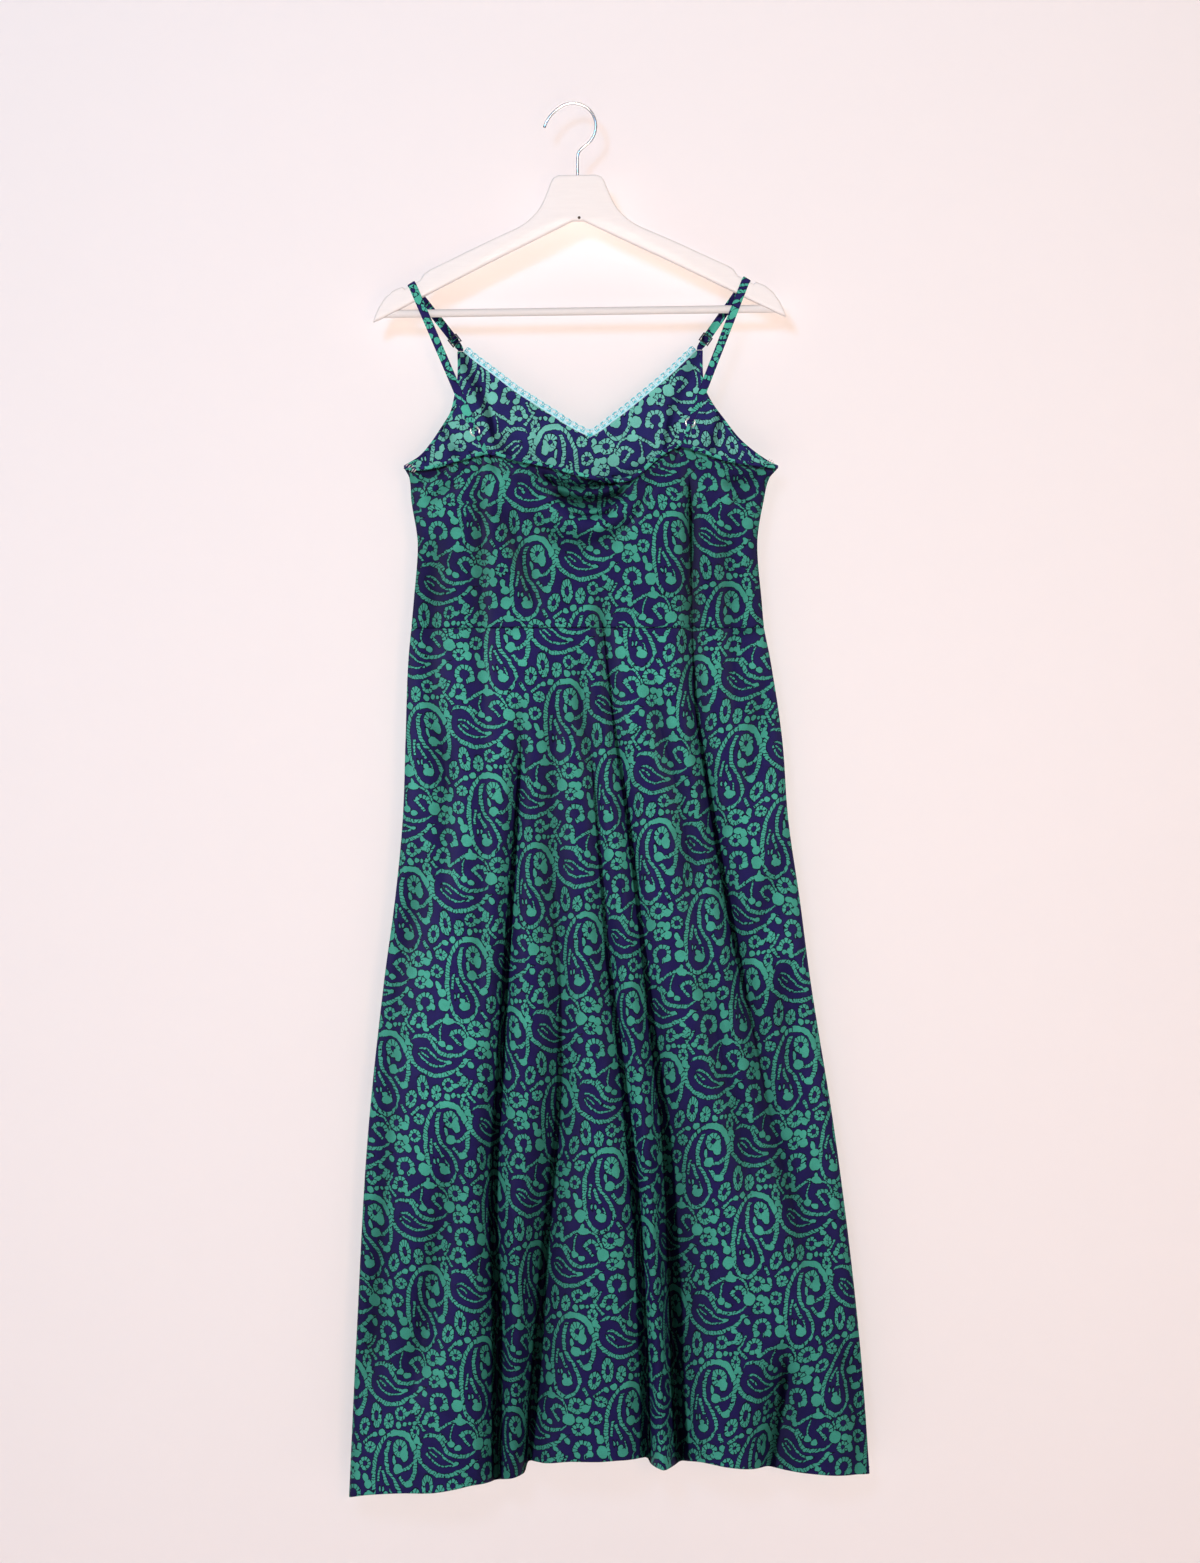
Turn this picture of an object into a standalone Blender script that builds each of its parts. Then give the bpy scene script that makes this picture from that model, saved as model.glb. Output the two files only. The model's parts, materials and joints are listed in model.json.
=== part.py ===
"""Slip dress hanging on a wooden hanger.

The dress hangs with its back towards -Y. X runs to the wearer's right as the back is seen, Z is up, and the
origin is the inner top of the hanger's hook, where a rail or a nail carries it. Tables are in millimetres.
"""
import math
from collections import namedtuple

import bmesh
import bpy
from mathutils import Matrix, Vector
from mathutils.geometry import interpolate_bezier

MM = 0.001
BACK = -1
FRONT = 1

# ---- driving dimensions, millimetres ----
CLOTH = 1.2                 # thickness of a cloth wall
SEAM_GAP = 0.3              # clearance between neighbouring pieces
WAIST_Z = -558.0            # height of the seam between bodice and skirt
CORNER_ROUNDNESS = 3.0      # how square the flat-hung cross-section is
CORNER_SHARPNESS = 0.7      # how sharply it closes at the side seams
SKIRT_BACK_GRID = (56, 17)  # columns and rows of each panel
SKIRT_FRONT_GRID = (46, 14)
SPACING_Z = -1300.0         # height at which the skirt's columns are spaced evenly along the cloth
BODICE_BACK_GRID = (34, 13)
LOBE_COLUMNS = 13
LOBE_ROWS = 9
LOBE_CROWDING = 1.3         # how much closer the columns lie near the side seam
FRONT_BODY_ROWS = 8
LACE_HEIGHT = 8.5
LACE_THICKNESS = 1.0
LACE_STATIONS = 16
LACE_AIM = 0.02             # share of the edge over which its direction is taken

RIBBON_WIDTH = 8.8
RIBBON_NARROW = 5.2         # where a ribbon passes through a ring
RIBBON = 0.9                # thickness of one ribbon layer
LAYER_SPACING = 0.6         # from the middle of a doubled strap to the middle of each layer
LOOP_SEWN_LENGTH = 6.0      # how far a ring loop runs down inside the back panel
LOOP_ABOVE_EDGE = 1.0       # and how far above the panel's edge its legs start to part
PEAK_STAND = 2.0            # straight length of the strap above its sewn end
PEAK_SHARE = 0.68           # width of the strap's sewn end, of its full width
RING_RADIUS = 4.7           # middle of the ring's wire
RING_WIRE = 0.8             # half the wire's thickness
RING_Y = -9.5
RING_SPREAD = 16.0          # distance from a ring at which the doubled strap has closed up
RUN_STEPS = 5
ARC_STEPS = 4
TURN_STEPS = 6
SLIDER_LENGTH = 9.5
SLIDER_WIRE = 0.6           # half the thickness of a slider's bars
RAIL_PROUD = 0.1            # how far the rails stand past the bars

HANGER_X = 4.8              # the hanger's middle and the hook's stem, beside the hook's top
HANGER_TILT = math.radians(0.8)
HANGER_THICKNESS = 12.0
HANGER_EDGE = 2.5           # rounding of the hanger's long edges
NECK_TOP_Z = -75.5
STRAP_NOTCH_OUT = 178.0     # distance of each strap notch from the hanger's middle
BAR_RADIUS = 4.25
BAR_Z = -220.3
HOOK_RADIUS = 24.3          # middle of the wire
HOOK_WIRE = 1.5             # half the wire's thickness
HOOK_FLARE = 6.5            # how far the hook's tip stands away from the circle
HOOK_TIP_ANGLE = 183
HOOK_FLARE_ANGLE = 120
HOOK_END_ANGLE = -32
HOOK_STEM_Z = -57.0
HOOK_BEND_REACH = 11.0      # how far the bend into the stem follows each of its two straight lines
HOOK_STEPS = 20
BEND_STEPS = 9
BAR_SIDES = 14

# ---- the dress's outline and its half depths towards the back and the front ----
Outline = namedtuple("Outline", "z left right back_depth front_depth")
OUTLINE = (
    Outline(-262, -179.6, 217.9, 12.0, 12.0),
    Outline(-386, -179.6, 217.9, 14.0, 12.0),
    Outline(-397, -174.6, 209.6, 15.0, 13.0),
    Outline(-422, -172.2, 203.0, 16.0, 14.0),
    Outline(-470, -165.4, 196.2, 15.0, 14.0),
    Outline(-528, -169.6, 200.8, 14.0, 13.0),
    Outline(-558, -172.3, 203.6, 15.0, 13.0),
    Outline(-592, -175.4, 210.2, 17.0, 15.0),
    Outline(-677, -178.4, 222.8, 21.0, 18.0),
    Outline(-762, -181.4, 229.2, 25.0, 21.0),
    Outline(-847, -189.6, 241.4, 28.0, 24.0),
    Outline(-932, -201.0, 252.6, 31.0, 26.0),
    Outline(-1102, -218.8, 279.6, 35.0, 30.0),
    Outline(-1315, -230.7, 305.0, 39.0, 34.0),
    Outline(-1484, -238.6, 317.6, 41.0, 36.0),
)

# ---- edges, left to right ----
EdgePoint = namedtuple("EdgePoint", "x z")
BACK_TOP_EDGE = (
    EdgePoint(-179.6, -384.6), EdgePoint(-169.0, -386.9), EdgePoint(-106.3, -373.1), EdgePoint(-91.4, -369.9),
    EdgePoint(-60.6, -377.4), EdgePoint(-24.4, -384.8), EdgePoint(9.6, -394.4), EdgePoint(42.5, -399.7),
    EdgePoint(63.8, -396.5), EdgePoint(94.6, -371.0), EdgePoint(114.8, -362.5), EdgePoint(138.2, -368.9),
    EdgePoint(163.7, -377.4), EdgePoint(189.2, -381.6), EdgePoint(217.9, -384.6),
)
BACK_HEM = (
    EdgePoint(-238.6, -1483.5), EdgePoint(-205.0, -1474.0), EdgePoint(-162.0, -1470.6), EdgePoint(-120.0, -1466.4),
    EdgePoint(-88.0, -1463.5), EdgePoint(-67.0, -1455.5), EdgePoint(-54.0, -1453.0), EdgePoint(-43.0, -1441.5),
    EdgePoint(-14.0, -1437.5), EdgePoint(20.0, -1439.8), EdgePoint(60.0, -1434.6), EdgePoint(74.0, -1435.5),
    EdgePoint(86.0, -1444.5), EdgePoint(103.0, -1446.5), EdgePoint(116.0, -1441.0), EdgePoint(135.0, -1439.6),
    EdgePoint(167.0, -1443.9), EdgePoint(215.0, -1446.5), EdgePoint(273.0, -1453.0), EdgePoint(317.6, -1458.6),
)
FRONT_HEM = (
    EdgePoint(-238.6, -1483.5), EdgePoint(-190.0, -1471.0), EdgePoint(-110.0, -1458.0), EdgePoint(10.0, -1441.0),
    EdgePoint(90.0, -1436.0), EdgePoint(180.0, -1443.0), EdgePoint(270.0, -1452.0), EdgePoint(317.6, -1458.6),
)
# Armhole curves from the underarm corner up to the strap peak, and the V neck from its point up to the peak.
LEFT_ARMHOLE = (
    EdgePoint(-179.6, -384.6), EdgePoint(-162.6, -373.1), EdgePoint(-152.0, -360.4), EdgePoint(-139.3, -341.2),
    EdgePoint(-131.0, -327.0), EdgePoint(-126.3, -308.0), EdgePoint(-123.4, -290.0), EdgePoint(-123.2, -262.2),
)
RIGHT_ARMHOLE = (
    EdgePoint(217.9, -384.6), EdgePoint(208.3, -379.5), EdgePoint(190.3, -366.7), EdgePoint(176.5, -354.0),
    EdgePoint(161.6, -334.8), EdgePoint(147.8, -315.7), EdgePoint(140.5, -300.0), EdgePoint(138.4, -285.0),
    EdgePoint(138.2, -260.6),
)
LEFT_NECK = (
    EdgePoint(18.1, -354.0), EdgePoint(-20.2, -330.6), EdgePoint(-52.1, -306.1), EdgePoint(-85.0, -282.8),
    EdgePoint(-117.2, -262.2),
)
RIGHT_NECK = (
    EdgePoint(18.1, -354.0), EdgePoint(44.6, -337.0), EdgePoint(77.6, -312.5), EdgePoint(110.6, -282.8),
    EdgePoint(132.0, -260.6),
)

# ---- folds: depth is the share of the panel's own half depth that a valley takes away, negative for a ridge ----
Drop = namedtuple("Drop", "x_top x_mid x_end z_top z_end width_top width_end depth_top depth_end pull")
Swag = namedtuple("Swag", "x_left z_left x_right z_right sag width depth")
HEM_END = -1490.0
BACK_DROPS = (
    Drop(124, 125, 129, -368, -700, 7, 9, 0.50, 0.70, 0),
    Drop(119, 174, 262, -470, -1290, 8, 12, 0.80, 0.50, 4),
    Drop(-54, -79, -84, -600, HEM_END, 7, 8, 0.45, 0.88, 3),
    Drop(-16, -19, -43, -560, HEM_END, 10, 8, 0.30, 0.92, 5),
    Drop(28, 88, 117, -515, HEM_END, 7, 9, 0.50, 0.95, 5),
    Drop(30, 66, 82, -840, HEM_END, 5, 5, 0.35, 0.62, 2),
    Drop(-170, -136, -138, -580, -790, 11, 12, 0.36, 0.32, 0),
    Drop(-168, -196, -224, -820, -1420, 14, 13, 0.45, 0.40, 0),
    Drop(-126, -150, -182, -1060, -1370, 12, 12, 0.42, 0.40, 0),
    Drop(226, 214, 206, -1310, HEM_END, 8, 9, 0.35, 0.70, 0),
    Drop(-98, -94, -98, -380, -930, 9, 11, 0.45, 0.32, 0),
    Drop(216, 198, 174, -580, -740, 9, 10, 0.42, 0.34, 0),
    Drop(228, 214, 200, -720, -960, 10, 12, 0.32, 0.30, 0),
    Drop(62, 92, 142, -590, -1090, 10, 14, 0.30, 0.26, 0),
    Drop(4, 12, 8, -600, -1010, 9, 12, 0.28, 0.22, 0),
    Drop(-145, -142, -140, -440, -575, 10, 10, 0.36, 0.36, 0),
    Drop(-68, -52, -34, -430, -570, 10, 10, 0.34, 0.30, 0),
    Drop(162, 165, 168, -440, -570, 9, 10, 0.36, 0.34, 0),
    Drop(-70, -66, -64, -1150, HEM_END, 8, 9, -0.10, -0.26, 0),
    Drop(70, 90, 100, -1000, HEM_END, 7, 8, -0.10, -0.36, 0),
    Drop(-136, -130, -132, -1180, HEM_END, 26, 26, -0.06, -0.12, 0),
    Drop(150, 168, 164, -1000, HEM_END, 26, 28, -0.06, -0.12, 0),
)
FRONT_DROPS = (
    Drop(-80, -83, -92, -290, -440, 7, 10, 0.30, 0.40, 0),
    Drop(95, 96, 98, -290, -450, 7, 10, 0.32, 0.42, 0),
    Drop(-96, -90, -84, -410, -640, 9, 11, 0.40, 0.46, 0),
    Drop(112, 108, 110, -420, -660, 9, 11, 0.42, 0.50, 0),
    Drop(-126, -160, -184, -580, HEM_END, 10, 13, 0.45, 0.66, 2),
    Drop(-70, -92, -104, -640, HEM_END, 8, 9, 0.40, 0.84, 3),
    Drop(-24, -26, -12, -570, HEM_END, 10, 9, 0.34, 0.86, 4),
    Drop(36, 48, 72, -550, HEM_END, 9, 9, 0.40, 0.90, 4),
    Drop(70, 88, 112, -820, HEM_END, 6, 7, 0.30, 0.66, 2),
    Drop(118, 156, 196, -580, HEM_END, 10, 11, 0.50, 0.74, 3),
    Drop(176, 214, 256, -780, -1420, 12, 13, 0.42, 0.44, 0),
    Drop(-160, -176, -210, -900, -1340, 12, 13, 0.40, 0.40, 0),
    Drop(-62, -70, -56, -1050, HEM_END, 18, 20, -0.08, -0.14, 0),
    Drop(140, 158, 150, -1050, HEM_END, 20, 24, -0.08, -0.14, 0),
)
BACK_SWAGS = (
    Swag(-90, -374, 112, -368, 36, 11, -0.42),
    Swag(-40, -398, 74, -396, 24, 9, 0.50),
    Swag(-58, -420, 98, -388, 68, 12, 0.30),
    Swag(-30, -425, 88, -412, 34, 15, -0.40),
    Swag(-168, -410, -126, -388, -6, 7, 0.40),
    Swag(-162, -428, -118, -404, -4, 8, 0.26),
    Swag(156, -402, 206, -390, 4, 7, 0.42),
    Swag(164, -424, 204, -404, 3, 8, 0.28),
)
FRONT_SWAGS = (
    Swag(-158, -416, -112, -388, -5, 8, 0.26),
    Swag(150, -392, 196, -414, -5, 8, 0.26),
    Swag(-70, -420, 104, -424, -22, 22, -0.30),
)
CREASE_FADE = 0.25          # share of a fold's length over which it starts or ends

# ---- straps: the ring's centre, the slider and the front peak of each side ----
Strap = namedtuple("Strap", "name side ring_x ring_z slider_x slider_z peak_x peak_z loop_x loop_z")
STRAPS = (
    Strap("left", -1, -104.2, -349.2, -126.6, -250.4, -120.2, -261.9, -92.6, -371.5),
    Strap("right", 1, 124.7, -339.9, 141.6, -248.8, 135.1, -260.3, 118.6, -364.5),
)

# ---- half outline of the hanger: distance from its middle and height ----
RailPoint = namedtuple("RailPoint", "out z")
HANGER_TOP = (
    RailPoint(20.0, -75.5), RailPoint(25.2, -77.6), RailPoint(28.4, -82.0), RailPoint(31.0, -89.0),
    RailPoint(36.1, -101.0), RailPoint(41.5, -111.0), RailPoint(48.9, -119.4), RailPoint(57.5, -126.4),
    RailPoint(67.5, -132.0), RailPoint(84.0, -139.3), RailPoint(106.3, -149.4), RailPoint(136.0, -163.6),
    RailPoint(159.0, -174.4), RailPoint(164.8, -178.2), RailPoint(169.2, -185.2), RailPoint(185.6, -194.3),
    RailPoint(188.4, -192.0), RailPoint(198.0, -195.9), RailPoint(206.6, -203.2), RailPoint(213.4, -213.0),
    RailPoint(217.6, -222.0), RailPoint(219.9, -229.0),
)
HANGER_BOTTOM = (
    RailPoint(6.0, -124.2), RailPoint(50.0, -145.6), RailPoint(99.9, -169.6), RailPoint(164.8, -202.0),
    RailPoint(189.9, -215.0), RailPoint(212.0, -225.9),
)
NOTCH_INNER = HANGER_TOP[14]
NOTCH_OUTER = HANGER_TOP[15]
NOTCH_SLOPE = (NOTCH_OUTER.z - NOTCH_INNER.z) / (NOTCH_OUTER.out - NOTCH_INNER.out)
STRAP_NOTCH_Z = NOTCH_INNER.z + NOTCH_SLOPE * (STRAP_NOTCH_OUT - NOTCH_INNER.out)
ARM_SEAT = HANGER_BOTTOM[4]         # the bar's ends seat on the arm's underside between these two points
ARM_END = HANGER_BOTTOM[5]
BAR_SEAT_SLOPE = (ARM_SEAT.z - ARM_END.z) / (ARM_END.out - ARM_SEAT.out)

Finish = namedtuple("Finish", "name colour roughness metallic")
PRINT_CLOTH = Finish("print_satin", (0.035, 0.17, 0.14), 0.42, 0.0)
LACE_CLOTH = Finish("aqua_lace", (0.22, 0.66, 0.66), 0.75, 0.0)
RING_METAL = Finish("silver_ring", (0.72, 0.72, 0.70), 0.25, 1.0)
SLIDER_METAL = Finish("dark_slider", (0.04, 0.05, 0.08), 0.40, 0.6)
PAINTED_WOOD = Finish("white_paint", (0.86, 0.84, 0.82), 0.45, 0.0)
CHROME = Finish("chrome_wire", (0.78, 0.78, 0.80), 0.16, 1.0)


def clear_scene():
    for item in list(bpy.data.objects):
        bpy.data.objects.remove(item, do_unlink=True)


def smooth_step(value):
    value = min(max(value, 0.0), 1.0)
    return value * value * (3 - 2 * value)


def mix(first, second, share):
    return first + (second - first) * share


def curve_value(keys, values, at):
    """Smooth curve through (key, value) pairs whose keys rise or fall steadily."""
    if keys[0] > keys[-1]:
        keys, values = keys[::-1], values[::-1]
    at = min(max(at, keys[0]), keys[-1])
    k = 0
    while k < len(keys) - 2 and at > keys[k + 1]:
        k += 1
    span = keys[k + 1] - keys[k]
    chord = (values[k + 1] - values[k]) / span
    before = (values[k] - values[k - 1]) / (keys[k] - keys[k - 1]) if k > 0 else chord
    after = (values[k + 2] - values[k + 1]) / (keys[k + 2] - keys[k + 1]) if k + 2 < len(keys) else chord
    start = (before + chord) / 2 if before * chord > 0 else 0.0
    end = (after + chord) / 2 if after * chord > 0 else 0.0
    t = (at - keys[k]) / span
    return (values[k] * (1 + 2 * t) * (1 - t) ** 2 + start * span * t * (1 - t) ** 2
            + values[k + 1] * t * t * (3 - 2 * t) - end * span * t * t * (1 - t))


def outline_value(column, z):
    return curve_value([row.z for row in OUTLINE], [getattr(row, column) for row in OUTLINE], z)


def edge_height(edge, x):
    return curve_value([p.x for p in edge], [p.z for p in edge], x)


def edge_place(edge, share):
    """Point at a share of the length of an edge, along a smooth curve through its points."""
    lengths = [0.0]
    for a, b in zip(edge, edge[1:]):
        lengths.append(lengths[-1] + math.hypot(b.x - a.x, b.z - a.z))
    at = share * lengths[-1]
    return curve_value(lengths, [p.x for p in edge], at), curve_value(lengths, [p.z for p in edge], at)


def drop_strength(drop, x, z):
    """How much a hanging fold takes from the depth here, and how it pulls the cloth sideways."""
    along = (drop.z_top - z) / (drop.z_top - drop.z_end)
    if along <= 0 or along >= 1:
        return 0.0, 0.0
    bend = 2 * (drop.x_top + drop.x_end - 2 * drop.x_mid)
    middle = drop.x_top + (drop.x_end - drop.x_top - bend) * along + bend * along * along
    envelope = smooth_step(along / CREASE_FADE)
    if drop.z_end > HEM_END:
        envelope *= smooth_step((1 - along) / CREASE_FADE)
    offset = (x - middle) / mix(drop.width_top, drop.width_end, along)
    groove = 1 / (1 + offset * offset)
    strength = mix(drop.depth_top, drop.depth_end, along) * envelope * groove
    return strength, -drop.pull * along * envelope * offset * groove * groove


def swag_strength(swag, x, z):
    """How much a draped fold takes from the depth here."""
    along = (x - swag.x_left) / (swag.x_right - swag.x_left)
    if along <= 0 or along >= 1:
        return 0.0
    middle = mix(swag.z_left, swag.z_right, along) - swag.sag * 4 * along * (1 - along)
    envelope = smooth_step(along / CREASE_FADE) * smooth_step((1 - along) / CREASE_FADE)
    offset = (z - middle) / swag.width
    return swag.depth * envelope * math.exp(-offset * offset)


def cloth_point(side, x, z, out=0.0):
    """Middle of the cloth wall of one side of the dress, moved out from the body by out."""
    left = outline_value("left", z)
    right = outline_value("right", z)
    depth = outline_value("back_depth" if side == BACK else "front_depth", z)
    half_width = (right - left) / 2
    across = min(abs(x - (left + right) / 2) / half_width, 1.0)
    flatness = (1 - across ** CORNER_ROUNDNESS) ** CORNER_SHARPNESS
    kept = 1.0
    pulled = 0.0
    for drop in BACK_DROPS if side == BACK else FRONT_DROPS:
        strength, pull = drop_strength(drop, x, z)
        kept *= 1 - strength
        pulled += pull
    for swag in BACK_SWAGS if side == BACK else FRONT_SWAGS:
        kept *= 1 - swag_strength(swag, x, z)
    seam_room = SEAM_GAP / 2
    point = Vector((x + pulled * flatness, side * (seam_room + depth * flatness * kept), z))
    return point + cloth_normal(side, x, z) * out if out else point


def cloth_normal(side, x, z):
    """Outward direction of the cloth wall at this place."""
    step = 0.5
    along_x = cloth_point(side, x + step, z) - cloth_point(side, x - step, z)
    along_z = cloth_point(side, x, z + step) - cloth_point(side, x, z - step)
    normal = along_x.cross(along_z)
    return normal.normalized() * (1 if normal.y * side > 0 else -1)


def paint(finish):
    material = bpy.data.materials.get(finish.name) or bpy.data.materials.new(finish.name)
    material.use_nodes = True
    shader = material.node_tree.nodes["Principled BSDF"]
    shader.inputs["Base Color"].default_value = (*finish.colour, 1.0)
    shader.inputs["Roughness"].default_value = finish.roughness
    shader.inputs["Metallic"].default_value = finish.metallic
    material.diffuse_color = (*finish.colour, 1.0)
    return material


def link_object(name, data, finish):
    data.materials.append(paint(finish))
    item = bpy.data.objects.new(name, data)
    bpy.context.collection.objects.link(item)
    return item


def finish_mesh(name, bm, finish, smooth_angle=40.0):
    """Turn a closed bmesh in millimetres into a named object in metres."""
    bmesh.ops.recalc_face_normals(bm, faces=bm.faces)
    bmesh.ops.scale(bm, vec=(MM, MM, MM), verts=bm.verts)
    mesh = bpy.data.meshes.new(name)
    bm.to_mesh(mesh)
    bm.free()
    mesh.shade_smooth()
    mesh.set_sharp_from_angle(angle=math.radians(smooth_angle))
    return link_object(name, mesh, finish)


# ---- cloth panels ----
def add_patch(bm, rows):
    """Quads over a grid of points, to be merged with the patches beside it."""
    grid = [[bm.verts.new(point) for point in row] for row in rows]
    for lower, upper in zip(grid, grid[1:]):
        for j in range(len(lower) - 1):
            bm.faces.new((lower[j], lower[j + 1], upper[j + 1], upper[j]))


def wall_direction(vert):
    """Thickness direction, squared up at the seams so that neighbouring cut faces stay parallel."""
    if vert.is_boundary and abs(vert.co.y) < SEAM_GAP:
        return Vector((math.copysign(1.0, vert.co.x), 0.0, 0.0))
    if abs(abs(vert.co.z - WAIST_Z) - SEAM_GAP / 2) < 0.01:
        return Vector((vert.normal.x, vert.normal.y, 0.0)).normalized()
    return vert.normal.copy()


def make_wall(name, patches, thickness, finish):
    """One closed wall around the sheet that the patches make, half its thickness to each side."""
    sheet = bmesh.new()
    for rows in patches:
        add_patch(sheet, rows)
    bmesh.ops.remove_doubles(sheet, verts=sheet.verts, dist=0.01)
    bmesh.ops.recalc_face_normals(sheet, faces=sheet.faces)
    sheet.normal_update()
    wall = bmesh.new()
    outer = {}
    inner = {}
    for vert in sheet.verts:
        offset = wall_direction(vert) * thickness / 2
        if offset.dot(vert.normal) < 0:
            offset.negate()
        outer[vert] = wall.verts.new(vert.co + offset)
        inner[vert] = wall.verts.new(vert.co - offset)
    for face in sheet.faces:
        wall.faces.new([outer[v] for v in face.verts])
        wall.faces.new([inner[v] for v in reversed(face.verts)])
    for edge in sheet.edges:
        if edge.is_boundary:
            a, b = edge.verts
            wall.faces.new((outer[a], outer[b], inner[b], inner[a]))
    sheet.free()
    finish_mesh(name, wall, finish)


def even_shares(side, z, count):
    """Shares of the width that give columns of equal cloth along the section at one height."""
    left = outline_value("left", z)
    right = outline_value("right", z)
    samples = 400
    places = [cloth_point(side, mix(left, right, k / samples), z) for k in range(samples + 1)]
    lengths = [0.0]
    for a, b in zip(places, places[1:]):
        lengths.append(lengths[-1] + (b - a).length)
    sampled = [k / samples for k in range(samples + 1)]
    return [curve_value(lengths, sampled, lengths[-1] * c / count) for c in range(count)] + [1.0]


def panel_rows(side, shares, bottom_z, top_edge, row_count):
    """Grid of points between a level seam and an edge that runs from side seam to side seam."""
    rows = []
    for i in range(row_count + 1):
        row = []
        for share in shares:
            edge_x = mix(top_edge[0].x, top_edge[-1].x, share)
            z = mix(bottom_z, edge_height(top_edge, edge_x), i / row_count)
            row.append(cloth_point(side, mix(outline_value("left", z), outline_value("right", z), share), z))
        rows.append(row)
    return rows


def make_skirt(name, side, grid, hem):
    shares = even_shares(side, SPACING_Z, grid[0])
    make_wall(name, [panel_rows(side, shares, WAIST_Z - SEAM_GAP / 2, hem, grid[1])], CLOTH, PRINT_CLOTH)


def make_back_bodice(name):
    shares = even_shares(BACK, WAIST_Z, BODICE_BACK_GRID[0])
    rows = panel_rows(BACK, shares, WAIST_Z + SEAM_GAP / 2, BACK_TOP_EDGE, BODICE_BACK_GRID[1])
    make_wall(name, [rows], CLOTH, PRINT_CLOTH)


def front_row(side_place, neck_place):
    """Points from the side or armhole edge inwards to the middle line or the neck edge."""
    row = []
    for k in range(LOBE_COLUMNS + 1):
        share = (k / LOBE_COLUMNS) ** LOBE_CROWDING
        row.append(cloth_point(FRONT, mix(side_place[0], neck_place[0], share),
                               mix(side_place[1], neck_place[1], share)))
    return row


def make_front_bodice(name):
    """Two halves joined down the middle to the point of the V, each rising to its strap peak."""
    apex = LEFT_NECK[0]
    waist_z = WAIST_Z + SEAM_GAP / 2
    patches = []
    for column, armhole, neck in (("left", LEFT_ARMHOLE, LEFT_NECK), ("right", RIGHT_ARMHOLE, RIGHT_NECK)):
        body = []
        for i in range(FRONT_BODY_ROWS + 1):
            side_z = mix(waist_z, armhole[0].z, i / FRONT_BODY_ROWS)
            middle_z = mix(waist_z, apex.z, i / FRONT_BODY_ROWS)
            body.append(front_row((outline_value(column, side_z), side_z), (apex.x, middle_z)))
        lobe = [front_row(edge_place(armhole, i / LOBE_ROWS), edge_place(neck, i / LOBE_ROWS))
                for i in range(LOBE_ROWS + 1)]
        patches += [body, lobe]
    make_wall(name, patches, CLOTH, PRINT_CLOTH)


def make_lace(name, neck, mitre_side):
    """Narrow edging that stands beyond the neck edge, in the surface of the front bodice."""
    apex = neck[0]
    rows = []
    for i in range(LACE_STATIONS + 1):
        share = i / LACE_STATIONS
        x, z = edge_place(neck, share)
        ahead = edge_place(neck, min(share + LACE_AIM, 1.0))
        behind = edge_place(neck, max(share - LACE_AIM, 0.0))
        run = Vector((ahead[0] - behind[0], 0.0, ahead[1] - behind[1])).normalized()
        rise = Vector((-run.z, 0.0, run.x)) * math.copysign(1.0, run.x)
        row = []
        for height in (SEAM_GAP, LACE_HEIGHT / 2, LACE_HEIGHT):
            place = Vector((x, 0.0, z)) + rise * height
            if i == 0:
                place = Vector((apex.x + mitre_side * SEAM_GAP / 2, 0.0, apex.z + height / rise.z))
            row.append(cloth_point(FRONT, place.x, place.z))
        rows.append(row)
    make_wall(name, [rows], LACE_THICKNESS, LACE_CLOTH)


# ---- straps, rings and sliders ----
def make_ribbon(name, places, widths):
    """Flat ribbon along a route, turned as little as the route allows."""
    bm = bmesh.new()
    across = Vector((1.0, 0.0, 0.0))
    corners = []
    for k, place in enumerate(places):
        run = (places[min(k + 1, len(places) - 1)] - places[max(k - 1, 0)]).normalized()
        across = (across - run * across.dot(run)).normalized()
        wide = across * widths[k] / 2
        deep = run.cross(across) * RIBBON / 2
        corners.append([bm.verts.new(place + step) for step in (wide + deep, wide - deep, -wide - deep, deep - wide)])
    for first, second in zip(corners, corners[1:]):
        for c in range(4):
            bm.faces.new((first[c], first[c - 1], second[c - 1], second[c]))
    bm.faces.new(corners[0])
    bm.faces.new(corners[-1])
    finish_mesh(name, bm, PRINT_CLOTH)


def hanger_place(side, out, z, y=0.0):
    """A place on the tilted hanger, from its distance out and its height as if level."""
    across = side * out
    down = z - NECK_TOP_Z
    tilted_x = across * math.cos(HANGER_TILT) - down * math.sin(HANGER_TILT)
    tilted_z = across * math.sin(HANGER_TILT) + down * math.cos(HANGER_TILT)
    return Vector((HANGER_X + tilted_x, y, NECK_TOP_Z + tilted_z))


def ring_turn(centre, outward):
    """Half turn of a ribbon round the wire of a ring, from the ring's back face through it to its front face."""
    free_radius = math.sqrt((RING_RADIUS - RING_WIRE) ** 2 - (RIBBON_NARROW / 2) ** 2)
    turn_radius = RING_WIRE + SEAM_GAP + RIBBON / 2
    middle = free_radius - SEAM_GAP - RIBBON / 2 + turn_radius
    places = []
    for k in range(TURN_STEPS + 1):
        angle = math.pi * k / TURN_STEPS
        inwards = outward * (middle - turn_radius * math.sin(angle))
        places.append(centre + inwards + Vector((0.0, BACK * turn_radius * math.cos(angle), 0.0)))
    return places


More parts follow.
